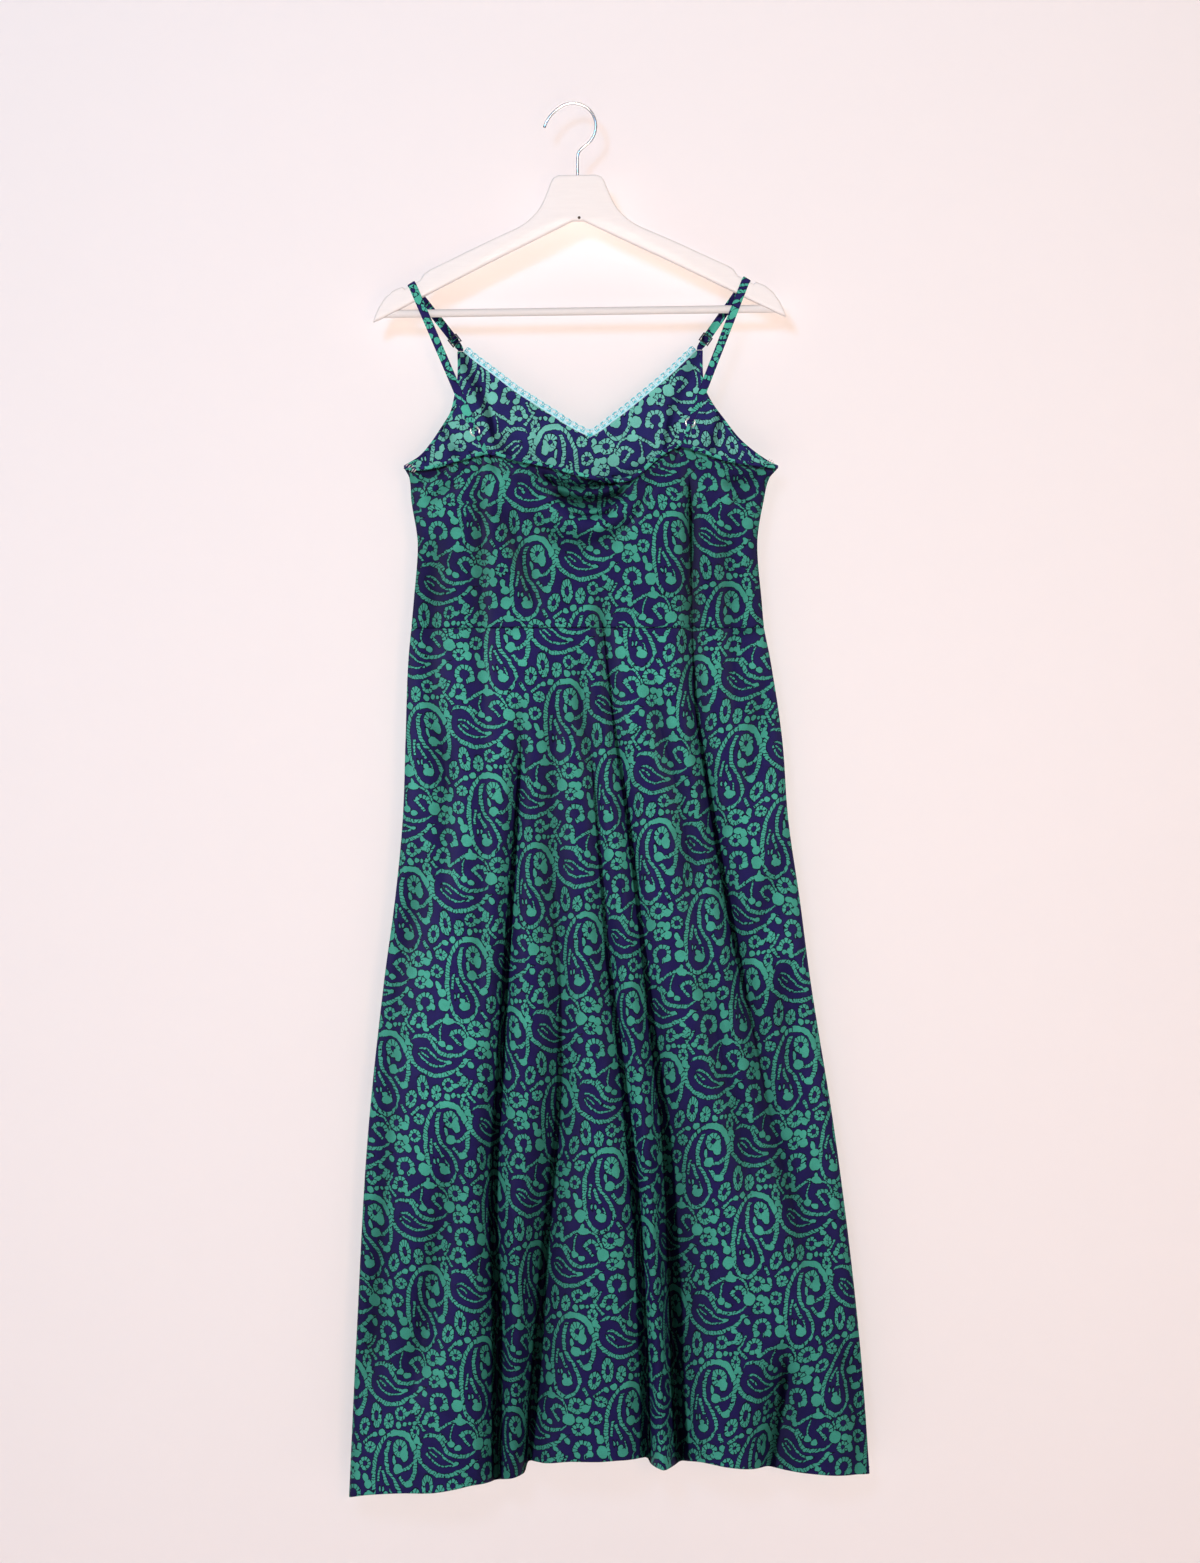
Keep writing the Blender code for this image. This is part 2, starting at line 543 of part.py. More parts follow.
def arm_crossing(side):
    """Middle of a doubled strap over the hanger's arm, front to back, with the direction away from the arm."""
    notch = hanger_place(side, STRAP_NOTCH_OUT, STRAP_NOTCH_Z)
    floor = hanger_place(side, NOTCH_INNER.out, NOTCH_INNER.z) - hanger_place(side, NOTCH_OUTER.out, NOTCH_OUTER.z)
    floor.normalize()
    lift = Vector((-floor.z, 0.0, floor.x)) * math.copysign(1.0, floor.x)
    flat_half = HANGER_THICKNESS / 2 - HANGER_EDGE
    radius = HANGER_EDGE + SEAM_GAP + LAYER_SPACING + RIBBON / 2
    crossing = []
    for face in (FRONT, BACK):
        for k in range(ARC_STEPS + 1):
            angle = math.pi / 2 * (k if face == FRONT else ARC_STEPS - k) / ARC_STEPS
            away = lift * math.sin(angle) + Vector((0.0, face * math.cos(angle), 0.0))
            corner = notch - lift * HANGER_EDGE + Vector((0.0, face * flat_half, 0.0))
            crossing.append((corner + away * radius, away))
    return crossing


def make_strap(strap):
    """Ribbon from the front peak through the slider, over the arm, round the ring and back up to the slider."""
    crossing = arm_crossing(strap.side)
    peak = cloth_point(FRONT, strap.peak_x, strap.peak_z)
    slider = Vector((strap.slider_x, peak.y, strap.slider_z))
    ring = Vector((strap.ring_x, RING_Y, strap.ring_z))
    behind = crossing[-1][0]
    outward = Vector((behind.x - ring.x, 0.0, behind.z - ring.z)).normalized()
    spread_end = ring + outward * RING_SPREAD
    front_run = [(slider.lerp(crossing[0][0], k / RUN_STEPS), Vector((0.0, FRONT, 0.0))) for k in range(RUN_STEPS)]
    back_run = [(behind.lerp(spread_end, (k + 1) / RUN_STEPS), Vector((0.0, BACK, 0.0))) for k in range(RUN_STEPS)]
    middle_line = front_run + crossing + back_run
    outer = [place + away * LAYER_SPACING for place, away in middle_line]
    inner = [place - away * LAYER_SPACING for place, away in reversed(middle_line)]
    turn = ring_turn(ring, outward)
    sewn_end = peak + Vector((0.0, 0.0, SEAM_GAP))
    bend = sewn_end + Vector((0.0, 0.0, PEAK_STAND))
    places = [sewn_end, bend] + outer + turn + inner
    widths = ([RIBBON_WIDTH * PEAK_SHARE, RIBBON_WIDTH * PEAK_SHARE] + [RIBBON_WIDTH] * len(outer)
              + [RIBBON_NARROW] * len(turn) + [RIBBON_WIDTH] * len(inner))
    make_ribbon("strap_" + strap.name, places, widths)
    make_slider("slider_" + strap.name, slider, (crossing[0][0] - slider).normalized())
    make_ring("ring_" + strap.name, ring)
    make_ring_loop("ring_loop_" + strap.name, strap, ring)


def make_ring(name, centre):
    bm = bmesh.new()
    bmesh.ops.create_circle(bm, radius=RING_WIRE, segments=8, matrix=Matrix.Translation((RING_RADIUS, 0.0, 0.0)))
    bmesh.ops.spin(bm, geom=bm.verts[:] + bm.edges[:], cent=(0, 0, 0), axis=(0, 1, 0), angle=math.tau, steps=20,
                   use_merge=True)
    bmesh.ops.translate(bm, vec=centre, verts=bm.verts)
    finish_mesh(name, bm, RING_METAL)


def make_ring_loop(name, strap, ring):
    """Cloth loop round the ring, both its legs sewn inside the back panel's top edge."""
    outward = Vector((strap.loop_x - ring.x, 0.0, strap.loop_z - ring.z))
    leg_length = outward.length
    outward.normalize()
    first_leg = []
    second_leg = []
    for distance in (leg_length - LOOP_ABOVE_EDGE, leg_length + LOOP_SEWN_LENGTH):
        place = ring + outward * distance
        inside = CLOTH / 2 + SEAM_GAP + RIBBON / 2
        first_leg.append(cloth_point(BACK, place.x, place.z, -inside))
        second_leg.append(cloth_point(BACK, place.x, place.z, -inside - RIBBON - SEAM_GAP))
    places = first_leg[::-1] + ring_turn(ring, outward) + second_leg
    make_ribbon(name, places, [RIBBON_NARROW] * len(places))


def add_box(bm, centre, axes, half_sizes):
    """Box turned to three axes."""
    turned = Matrix([axis * half for axis, half in zip(axes, half_sizes)]).transposed().to_4x4()
    bmesh.ops.create_cube(bm, size=2.0, matrix=Matrix.Translation(centre) @ turned)


def make_slider(name, centre, run):
    """Frame of two rails and three bars: the outer bars lie behind the doubled strap, the middle one before it."""
    across = Vector((0.0, 1.0, 0.0)).cross(run).normalized()
    axes = (across, run, Vector((0.0, 1.0, 0.0)))
    bar_y = LAYER_SPACING + RIBBON / 2 + SEAM_GAP + SLIDER_WIRE
    rail_out = RIBBON_WIDTH / 2 + SEAM_GAP + SLIDER_WIRE
    bars = bmesh.new()
    for along, face in ((-1, BACK), (0, FRONT), (1, BACK)):
        bar_centre = centre + run * along * (SLIDER_LENGTH / 2 - SLIDER_WIRE) + axes[2] * face * bar_y
        add_box(bars, bar_centre, axes, (rail_out, SLIDER_WIRE, SLIDER_WIRE))
    rails = bmesh.new()
    for hand in (-1, 1):
        rail_half = bar_y + SLIDER_WIRE + RAIL_PROUD
        add_box(rails, centre + across * hand * rail_out, axes,
                (SLIDER_WIRE, SLIDER_LENGTH / 2 + RAIL_PROUD, rail_half))
    slider = finish_mesh(name, bars, SLIDER_METAL)
    rail_pair = finish_mesh(name + "_rails", rails, SLIDER_METAL)
    rail_pair.hide_render = True
    rail_pair.display_type = "WIRE"
    union = slider.modifiers.new("rails", "BOOLEAN")
    union.operation = "UNION"
    union.solver = "EXACT"
    union.object = rail_pair


# ---- hanger ----
def make_hanger_body():
    """Flat board cut to the hanger's outline, its long edges rounded."""
    outline = [hanger_place(1, p.out, p.z) for p in HANGER_TOP + HANGER_BOTTOM[::-1]]
    outline += [hanger_place(-1, p.out, p.z) for p in HANGER_BOTTOM + HANGER_TOP[::-1]]
    bm = bmesh.new()
    half = Vector((0.0, HANGER_THICKNESS / 2, 0.0))
    face = bm.faces.new([bm.verts.new(place - half) for place in outline])
    extruded = bmesh.ops.extrude_face_region(bm, geom=[face])
    moved = [item for item in extruded["geom"] if isinstance(item, bmesh.types.BMVert)]
    bmesh.ops.translate(bm, vec=half * 2, verts=moved)
    rims = [edge for edge in bm.edges if abs(edge.verts[0].co.y - edge.verts[1].co.y) < 0.01]
    bmesh.ops.bevel(bm, geom=rims, offset=HANGER_EDGE, segments=3, profile=0.5, affect="EDGES")
    finish_mesh("hanger_body", bm, PAINTED_WOOD)


def make_hanger_bar():
    """Round bar whose slanted ends seat against the undersides of the arms."""
    clearance = SEAM_GAP / math.sin(math.atan(BAR_SEAT_SLOPE))
    bm = bmesh.new()
    rings = []
    for side in (-1, 1):
        ring = []
        for k in range(BAR_SIDES):
            angle = math.tau * k / BAR_SIDES
            z = BAR_Z + BAR_RADIUS * math.cos(angle)
            out = ARM_SEAT.out + (ARM_SEAT.z - z) / BAR_SEAT_SLOPE - clearance
            ring.append(bm.verts.new(hanger_place(side, out, z, BAR_RADIUS * math.sin(angle))))
        rings.append(ring)
        bm.faces.new(ring)
    for k in range(BAR_SIDES):
        bm.faces.new((rings[0][k - 1], rings[0][k], rings[1][k], rings[1][k - 1]))
    finish_mesh("hanger_bar", bm, PAINTED_WOOD)


def hook_route():
    """Middle line of the wire, from the flared tip over the top and down the stem."""
    centre = Vector((0.0, 0.0, HOOK_WIRE - HOOK_RADIUS))
    route = []
    for k in range(HOOK_STEPS + 1):
        degrees = mix(HOOK_TIP_ANGLE, HOOK_END_ANGLE, k / HOOK_STEPS)
        opened = max(degrees - HOOK_FLARE_ANGLE, 0) / (HOOK_TIP_ANGLE - HOOK_FLARE_ANGLE)
        radius = HOOK_RADIUS + HOOK_FLARE * opened * opened
        angle = math.radians(degrees)
        route.append(centre + Vector((radius * math.cos(angle), 0.0, radius * math.sin(angle))))
    leaving = (route[-1] - route[-2]).normalized()
    stem_top = Vector((HANGER_X, 0.0, HOOK_STEM_Z))
    bend = interpolate_bezier(route[-1], route[-1] + leaving * HOOK_BEND_REACH,
                              stem_top + Vector((0.0, 0.0, HOOK_BEND_REACH)), stem_top, BEND_STEPS)
    return route + bend[1:] + [Vector((HANGER_X, 0.0, NECK_TOP_Z + SEAM_GAP))]


def make_hanger_hook():
    wire = bpy.data.curves.new("hanger_hook", "CURVE")
    wire.dimensions = "3D"
    wire.bevel_depth = HOOK_WIRE * MM
    wire.bevel_resolution = 3
    wire.use_fill_caps = True
    route = hook_route()
    spline = wire.splines.new("POLY")
    spline.points.add(len(route) - 1)
    for point, place in zip(spline.points, route):
        point.co = (*(place * MM), 1.0)
    link_object("hanger_hook", wire, CHROME)


def build_model():
    clear_scene()
    make_back_bodice("bodice_back")
    make_front_bodice("bodice_front")
    make_skirt("skirt_back", BACK, SKIRT_BACK_GRID, BACK_HEM)
    make_skirt("skirt_front", FRONT, SKIRT_FRONT_GRID, FRONT_HEM)
    make_lace("lace_left", LEFT_NECK, -1)
    make_lace("lace_right", RIGHT_NECK, 1)
    for strap in STRAPS:
        make_strap(strap)
    make_hanger_body()
    make_hanger_bar()
    make_hanger_hook()


build_model()
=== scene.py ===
import json
import math
import bmesh
import bpy
import numpy as np
from mathutils import Matrix, Vector
from mathutils.geometry import interpolate_bezier

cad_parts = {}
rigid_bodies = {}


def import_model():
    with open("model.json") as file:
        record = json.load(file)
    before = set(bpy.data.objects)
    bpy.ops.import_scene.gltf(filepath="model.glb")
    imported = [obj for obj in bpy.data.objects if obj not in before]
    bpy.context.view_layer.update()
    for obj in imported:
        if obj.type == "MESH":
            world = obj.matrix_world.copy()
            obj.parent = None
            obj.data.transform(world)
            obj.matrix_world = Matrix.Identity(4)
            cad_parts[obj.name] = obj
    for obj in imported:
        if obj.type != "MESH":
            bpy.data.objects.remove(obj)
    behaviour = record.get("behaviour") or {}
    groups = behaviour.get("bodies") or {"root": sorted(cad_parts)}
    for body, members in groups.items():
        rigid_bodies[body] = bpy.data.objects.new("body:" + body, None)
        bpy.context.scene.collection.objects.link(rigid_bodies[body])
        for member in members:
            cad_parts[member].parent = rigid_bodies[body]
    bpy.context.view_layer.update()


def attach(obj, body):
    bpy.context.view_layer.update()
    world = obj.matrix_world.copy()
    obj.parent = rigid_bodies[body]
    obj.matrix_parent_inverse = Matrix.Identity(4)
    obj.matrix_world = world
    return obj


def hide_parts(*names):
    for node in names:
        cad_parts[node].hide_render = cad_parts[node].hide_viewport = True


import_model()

# The dress hangs with its back towards -Y and its front towards +Y. Tables are in millimetres, finished pieces in
# metres.
mm = 0.001
backSide = -1
frontSide = 1

dressShape = dict(
    waist=-558.0, seam=0.3, cornerRoundness=3.0, cornerSharpness=0.7, creaseFade=0.25, foldSteepness=2.6, foldPull=0.7,
    spacingHeight=-1300.0, normalStep=0.5,
    # height, left edge, right edge, half depth of the back, half depth of the front
    outline=(
        (-262, -179.6, 217.9, 12, 12), (-386, -179.6, 217.9, 14, 12), (-397, -174.6, 209.6, 15, 13),
        (-422, -172.2, 203, 16, 14), (-470, -165.4, 196.2, 15, 14), (-528, -169.6, 200.8, 14, 13),
        (-558, -172.3, 203.6, 15, 13), (-592, -175.4, 210.2, 17, 15), (-677, -178.4, 222.8, 21, 18),
        (-762, -181.4, 229.2, 25, 21), (-847, -189.6, 241.4, 28, 24), (-932, -201, 252.6, 31, 26),
        (-1102, -218.8, 279.6, 35, 30), (-1315, -230.7, 305, 39, 34), (-1484, -238.6, 317.6, 41, 36)),
    backTop=(
        (-179.6, -384.6), (-169, -386.9), (-106.3, -373.1), (-91.4, -369.9), (-60.6, -377.4), (-24.4, -384.8),
        (9.6, -394.4), (42.5, -399.7), (63.8, -396.5), (94.6, -371), (114.8, -362.5), (138.2, -368.9),
        (163.7, -377.4), (189.2, -381.6), (217.9, -384.6)),
    backHem=(
        (-238.6, -1483.5), (-222, -1479.6), (-200, -1476.6), (-182, -1475), (-150, -1473.4), (-126, -1469),
        (-106, -1464.8), (-79, -1463.8), (-68.5, -1460), (-57.5, -1457.2), (-53, -1454.8), (-49, -1446),
        (-45, -1443.4), (-30, -1442.4), (0, -1439.2), (26, -1439.4), (53, -1438), (75, -1438.2), (79.5, -1439.6),
        (83.5, -1444.6), (88, -1446.4), (98.6, -1447.4), (106, -1446.8), (113, -1445.2), (120, -1443.8),
        (136, -1440.8), (167, -1445.4), (195, -1448.8), (212, -1449), (250, -1454), (281, -1457.6), (317.6, -1458.6)),
    frontHem=(
        (-238.6, -1483.5), (-190, -1471), (-110, -1458), (10, -1441), (90, -1436), (180, -1443), (270, -1452),
        (317.6, -1458.6)),
    leftArmhole=(
        (-179.6, -384.6), (-162.6, -373.1), (-152, -360.4), (-139.3, -341.2), (-131, -327), (-126.3, -308),
        (-123.4, -290), (-123.2, -262.2)),
    rightArmhole=(
        (217.9, -384.6), (208.3, -379.5), (190.3, -366.7), (176.5, -354), (161.6, -334.8), (147.8, -315.7),
        (140.5, -300), (138.4, -285), (138.2, -260.6)),
    leftNeck=(
        (18.1, -353.5), (5.3, -347.3), (-7.4, -340.3), (-20.2, -331.8), (-33, -323.6), (-45.7, -315.4),
        (-58.5, -307.2), (-71.2, -298), (-84, -288), (-96.7, -278.6), (-109.5, -269), (-117.2, -262.2)),
    rightNeck=(
        (18.1, -353.5), (30.8, -346), (43.6, -336), (56.3, -326.5), (69.1, -316.2), (81.9, -305.8), (94.6, -295.2),
        (107.4, -284), (120.1, -272), (132, -260.6)))

# Hanging folds. Each row of a fold: height, x, width to the left and to the right, depth as a share of the panel's
# own depth (a minus sign is a ridge).
backFolds = dict(
    drops=(
        ((-620, -52, 6, 6, 0), (-700, -57, 7, 8, 0.62), (-830, -65, 8, 9, 0.85), (-1000, -76, 9, 10, 0.92),
         (-1170, -85, 10, 13, 0.94), (-1300, -81, 10, 13, 0.94), (-1490, -82, 10, 12, 0.9)),
        ((-560, -16, 12, 10, 0), (-660, -20, 14, 10, 0.45), (-800, -22, 14, 15, 0.65), (-950, -13, 15, 14, 0.66),
         (-1060, -15, 17, 17, 0.84), (-1200, -28, 17, 17, 0.92), (-1330, -39, 14, 17, 0.93),
         (-1490, -52, 13, 14, 0.75)),
        ((-560, 2, 8, 8, 0), (-613, 9, 9, 10, 0.47), (-656, 10, 9, 13, 0.65), (-700, 20, 9, 8, 0.57),
         (-800, 29, 8, 7, 0.55), (-920, 40, 13, 9, 0.7), (-1040, 55, 12, 8, 0.72), (-1150, 66, 9, 8, 0.78),
         (-1300, 76, 10, 6, 0.66), (-1490, 82, 13, 6, 0.7)),
        ((-505, 26, 6, 6, 0), (-570, 34, 7, 7, 0.66), (-660, 44, 7, 8, 0.66), (-750, 57, 8, 9, 0.74),
         (-870, 71, 8, 10, 0.64), (-980, 83, 10, 15, 0.86), (-1100, 96, 12, 21, 0.93), (-1250, 103, 12, 22, 0.95),
         (-1380, 109, 12, 16, 0.95), (-1490, 117, 10, 14, 0.9)),
        ((-372, 122, 5, 5, 0), (-410, 124, 5, 5, 0.6), (-450, 125, 6, 6, 0.88), (-530, 126, 8, 8, 0.85),
         (-640, 131, 9, 9, 0.93), (-740, 146, 9, 9, 0.93), (-870, 168, 9, 10, 0.92), (-980, 190, 13, 13, 0.8),
         (-1080, 211, 13, 10, 0.66), (-1180, 236, 10, 12, 0.55), (-1290, 262, 10, 12, 0)),
        ((-440, -150, 12, 10, 0), (-490, -150, 14, 12, 0.65), (-560, -151, 14, 12, 0.59), (-620, -152, 9, 12, 0.55),
         (-700, -137, 14, 9, 0.65), (-800, -136, 10, 9, 0.33), (-850, -136, 8, 8, 0)),
        ((-610, 86, 8, 8, 0), (-660, 93, 10, 9, 0.55), (-740, 114, 14, 8, 0.52), (-800, 122, 10, 10, 0.55),
         (-880, 134, 14, 9, 0.33), (-996, 154, 13, 9, 0.47), (-1124, 184, 12, 13, 0.44), (-1200, 192, 9, 9, 0)),
        ((-750, -166, 12, 12, 0), (-860, -172, 17, 14, 0.65), (-950, -188, 13, 13, 0.49),
         (-1160, -202, 13, 10, 0.55), (-1300, -212, 12, 13, 0.65), (-1400, -222, 10, 10, 0)),
        ((-380, -98, 6, 6, 0), (-440, -98, 8, 7, 0.52), (-560, -97, 9, 8, 0.45), (-700, -95, 9, 9, 0.2),
         (-900, -99, 9, 9, 0.36), (-1000, -104, 8, 8, 0)),
        ((-1310, 226, 9, 10, 0), (-1370, 219, 12, 15, 0.75), (-1420, 210, 13, 20, 0.72), (-1490, 205, 13, 18, 0.7)),
        ((-575, 226, 8, 8, 0), (-620, 204, 8, 10, 0.55), (-690, 190, 10, 10, 0.47), (-760, 182, 8, 8, 0)),
        ((-760, 226, 8, 8, 0), (-800, 222, 9, 9, 0.42), (-860, 204, 10, 10, 0.39), (-920, 192, 8, 8, 0)),
        ((-900, 228, 8, 8, 0), (-950, 225, 12, 13, 0.55), (-1030, 232, 9, 10, 0.42), (-1120, 240, 8, 8, 0)),
        ((-1300, 290, 8, 10, 0), (-1340, 292, 9, 12, 0.45), (-1390, 302, 9, 9, 0.52), (-1490, 304, 9, 9, 0.33)),
        ((-1060, -122, 10, 10, 0), (-1160, -135, 13, 13, 0.42), (-1260, -150, 13, 14, 0.49),
         (-1340, -165, 13, 13, 0.39), (-1390, -170, 10, 10, 0)),
        ((-420, 176, 7, 7, 0), (-480, 164, 9, 9, 0.44), (-540, 167, 8, 8, 0.52), (-620, 172, 9, 10, 0.45),
         (-680, 176, 8, 8, 0)),
        ((-368, -96, 2, 2, 0), (-376, -97, 3, 3, 0.35), (-404, -102, 4, 4, 0)),
        ((-368, -88, 2, 2, 0), (-378, -86, 3, 3, 0.4), (-412, -78, 4, 4, 0)),
        ((-370, -106, 2, 2, 0), (-380, -110, 3, 3, 0.3), (-396, -118, 4, 4, 0)),
        ((-362, 112, 2, 2, 0), (-372, 110, 3, 3, 0.35), (-396, 104, 4, 4, 0)),
        ((-362, 126, 2, 2, 0), (-374, 130, 3, 3, 0.3), (-392, 136, 4, 4, 0)),
        ((-420, -78, 7, 7, 0), (-450, -68, 9, 9, 0.47), (-500, -50, 9, 9, 0.52), (-560, -34, 8, 8, 0)),
        ((-1100, -60, 7, 7, 0), (-1300, -60, 8, 8, -0.25), (-1490, -66, 8, 8, -0.3)),
        ((-980, 70, 6, 6, 0), (-1100, 78, 7, 6, -0.25), (-1300, 89, 6, 6, -0.4), (-1490, 99, 6, 6, -0.4)),
        ((-1180, -134, 26, 26, 0), (-1300, -130, 26, 26, -0.1), (-1490, -132, 26, 26, -0.12)),
        ((-1000, 152, 26, 26, 0), (-1250, 168, 27, 27, -0.1), (-1490, 164, 28, 28, -0.12))),
    # draped folds: x and height of the left end, of the right end, sag, width, depth
    swags=(
        (-90, -374, 112, -368, 36, 11, -0.5), (-50, -386, 68, -391, 20, 6, 0.82),
        (-38, -401, 74, -397, 25, 8.5, 0.92), (-8, -433, 50, -428, 9, 3, 0.5), (-58, -420, 98, -388, 66, 10, 0.45),
        (-30, -425, 88, -412, 34, 13, -0.4), (-172, -412, -126, -388, -6, 7, 0.6),
        (-162, -430, -118, -404, -4, 8, 0.36), (154, -404, 208, -392, 4, 7, 0.6),
        (164, -424, 204, -404, 3, 8, 0.32), (168, -563, 205, -560, 2, 3, 0.6)))
frontFolds = dict(
    drops=(
        ((-290, -80, 7, 7, 0), (-323, -81, 8, 8, 0.35), (-402, -87, 10, 10, 0.41), (-440, -92, 10, 10, 0)),
        ((-290, 95, 7, 7, 0), (-325, 95, 8, 8, 0.38), (-410, 97, 10, 10, 0.43), (-450, 98, 10, 10, 0)),
        ((-410, -96, 9, 9, 0), (-461, -93, 10, 10, 0.45), (-582, -87, 11, 11, 0.49), (-640, -84, 12, 12, 0)),
        ((-420, 112, 9, 9, 0), (-473, 110, 10, 10, 0.48), (-600, 108, 11, 11, 0.53), (-660, 110, 12, 12, 0)),
        ((-580, -126, 10, 10, 0), (-762, -141, 11, 11, 0.54), (-1035, -160, 12, 12, 0.61),
         (-1490, -184, 14, 14, 0.73)),
        ((-640, -70, 8, 8, 0), (-810, -80, 9, 9, 0.54), (-1065, -92, 9, 9, 0.68), (-1490, -104, 9, 9, 0.92)),
        ((-570, -24, 10, 10, 0), (-754, -27, 10, 10, 0.49), (-1030, -26, 10, 10, 0.66), (-1490, -12, 9, 9, 0.95)),
        ((-550, 36, 9, 9, 0), (-738, 39, 9, 9, 0.55), (-1020, 48, 9, 9, 0.72), (-1490, 72, 9, 9, 0.99)),
        ((-820, 70, 6, 6, 0), (-954, 76, 7, 7, 0.41), (-1155, 88, 7, 7, 0.53), (-1490, 112, 7, 7, 0.73)),
        ((-580, 118, 10, 10, 0), (-762, 133, 11, 11, 0.6), (-1035, 156, 11, 11, 0.68), (-1490, 196, 12, 12, 0.81)),
        ((-780, 176, 13, 13, 0), (-921, 192, 13, 13, 0.47), (-1260, 234, 13, 13, 0.48), (-1420, 256, 14, 14, 0)),
        ((-900, -160, 13, 13, 0), (-997, -165, 13, 13, 0.44), (-1230, -191, 13, 13, 0.44), (-1340, -210, 14, 14, 0)),
        ((-1050, -62, 19, 19, 0), (-1138, -68, 19, 19, -0.1), (-1270, -70, 20, 20, -0.12),
         (-1490, -56, 21, 21, -0.15)),
        ((-1050, 140, 21, 21, 0), (-1138, 150, 22, 22, -0.1), (-1270, 158, 23, 23, -0.12),
         (-1490, 150, 25, 25, -0.15))),
    swags=(
        (-158, -416, -112, -388, -5, 8, 0.26), (150, -392, 196, -414, -5, 8, 0.26),
        (-70, -420, 104, -424, -22, 22, -0.3)))


def smoothStep(value):
    value = np.clip(value, 0.0, 1.0)
    return value * value * (3 - 2 * value)


def between(first, second, share):
    return first + (second - first) * share


def hump(distance, width):
    return np.exp(-(distance / width) ** 2)


def curveAt(keys, values, at):
    # smooth curve through pairs whose keys rise or fall steadily
    keys = np.asarray(keys, float)
    values = np.asarray(values, float)
    if keys[0] > keys[-1]:
        keys, values = keys[::-1], values[::-1]
    at = np.clip(at, keys[0], keys[-1])
    k = np.clip(np.searchsorted(keys, at, side="left") - 1, 0, len(keys) - 2)
    span = np.diff(keys)
    chord = np.diff(values) / span
    before = np.concatenate([chord[:1], chord])
    after = np.concatenate([chord, chord[-1:]])
    slope = np.where(before * after > 0, (before + after) / 2, 0.0)
    t = (at - keys[k]) / span[k]
    return (values[k] * (1 + 2 * t) * (1 - t) ** 2 + slope[k] * span[k] * t * (1 - t) ** 2
            + values[k + 1] * t * t * (3 - 2 * t) - slope[k + 1] * span[k] * t * t * (1 - t))


def outlineAt(column, z):
    heights = [row[0] for row in dressShape["outline"]]
    return curveAt(heights, [row[column] for row in dressShape["outline"]], z)


def edgeHeight(edge, x):
    return curveAt([p[0] for p in edge], [p[1] for p in edge], x)


def edgePlace(edge, share):
    # place at a share of the length of an edge
    points = np.array(edge)
    lengths = np.concatenate([[0.0], np.cumsum(np.hypot(*np.diff(points, axis=0).T))])
    at = np.asarray(share) * lengths[-1]
    return curveAt(lengths, points[:, 0], at), curveAt(lengths, points[:, 1], at)


def openCloth(side, x, z):
    # half depth of the cloth without its folds, and the share of the full half depth reached at this x
    left, right = outlineAt(1, z), outlineAt(2, z)
    depth = outlineAt(3 if side == backSide else 4, z)
    across = np.minimum(np.abs(x - (left + right) / 2) / ((right - left) / 2), 1.0)
    flatness = (1 - across ** dressShape["cornerRoundness"]) ** dressShape["cornerSharpness"]
    return depth * flatness, flatness


def foldsAt(side, x, z, widen=1.0):
    # share of the depth that the folds leave, and how far they pull the cloth sideways
    folds = backFolds if side == backSide else frontFolds
    fade = dressShape["creaseFade"]
    kept = np.ones_like(x)
    pulled = np.zeros_like(x)
    for fold in folds["drops"]:
        heights, middles, lefts, rights, depths = zip(*fold)
        inside = (z < heights[0]) & (z > heights[-1])
        offset = x - curveAt(heights, middles, z)
        wide = np.where(offset < 0, curveAt(heights, lefts, z), curveAt(heights, rights, z)) * widen
        deep = np.where(inside, curveAt(heights, depths, z), 0.0)
        offset = offset / wide
        groove = 1 / (1 + np.abs(offset) ** dressShape["foldSteepness"])
        kept = kept * (1 - deep * groove)
        pulled = pulled - dressShape["foldPull"] * np.maximum(deep, 0.0) * wide * offset * groove * groove
    for xLeft, zLeft, xRight, zRight, sag, width, deep in folds["swags"]:
        along = (x - xLeft) / (xRight - xLeft)
        inside = (along > 0) & (along < 1)
        middle = between(zLeft, zRight, along) - sag * 4 * along * (1 - along)
        envelope = smoothStep(along / fade) * smoothStep((1 - along) / fade)
        kept = kept * np.where(inside, 1 - deep * envelope * hump(z - middle, width * widen), 1.0)
    return kept, pulled


def clothPlace(side, x, z, out=0.0):
    # middle of the cloth on one side of the dress
    x, z = np.broadcast_arrays(np.asarray(x, float), np.asarray(z, float))
    depth, flatness = openCloth(side, x, z)
    kept, pulled = foldsAt(side, x, z)
    places = np.stack([x + pulled * flatness, side * (dressShape["seam"] / 2 + depth * kept), z], -1)
    if np.any(out):
        places = places + clothNormal(side, x, z) * np.asarray(out, float)[..., None]
    return places


# shares of painted shade, which darkens the outside cloth's colour in folds, along the waist seam, under the back's top
# edge, at the sides, over the chest and towards the hem, and over how many millimetres each one reaches
shadeLook = dict(
    recess=0.54, leastDepth=3.0, fullDepth=9.0, soft=0.34, spread=1.6, waistLine=0.75, waistWidth=1.0, edgeLine=1.0,
    edgeAt=5.2, edgeWidth=1.6, underEdge=0.30, underReach=24.0, sides=0.42, sideReach=8.0, chest=0.24,
    chestFrom=-600.0, chestReach=80.0, hem=0.16, hemFrom=-1000.0, hemReach=300.0)


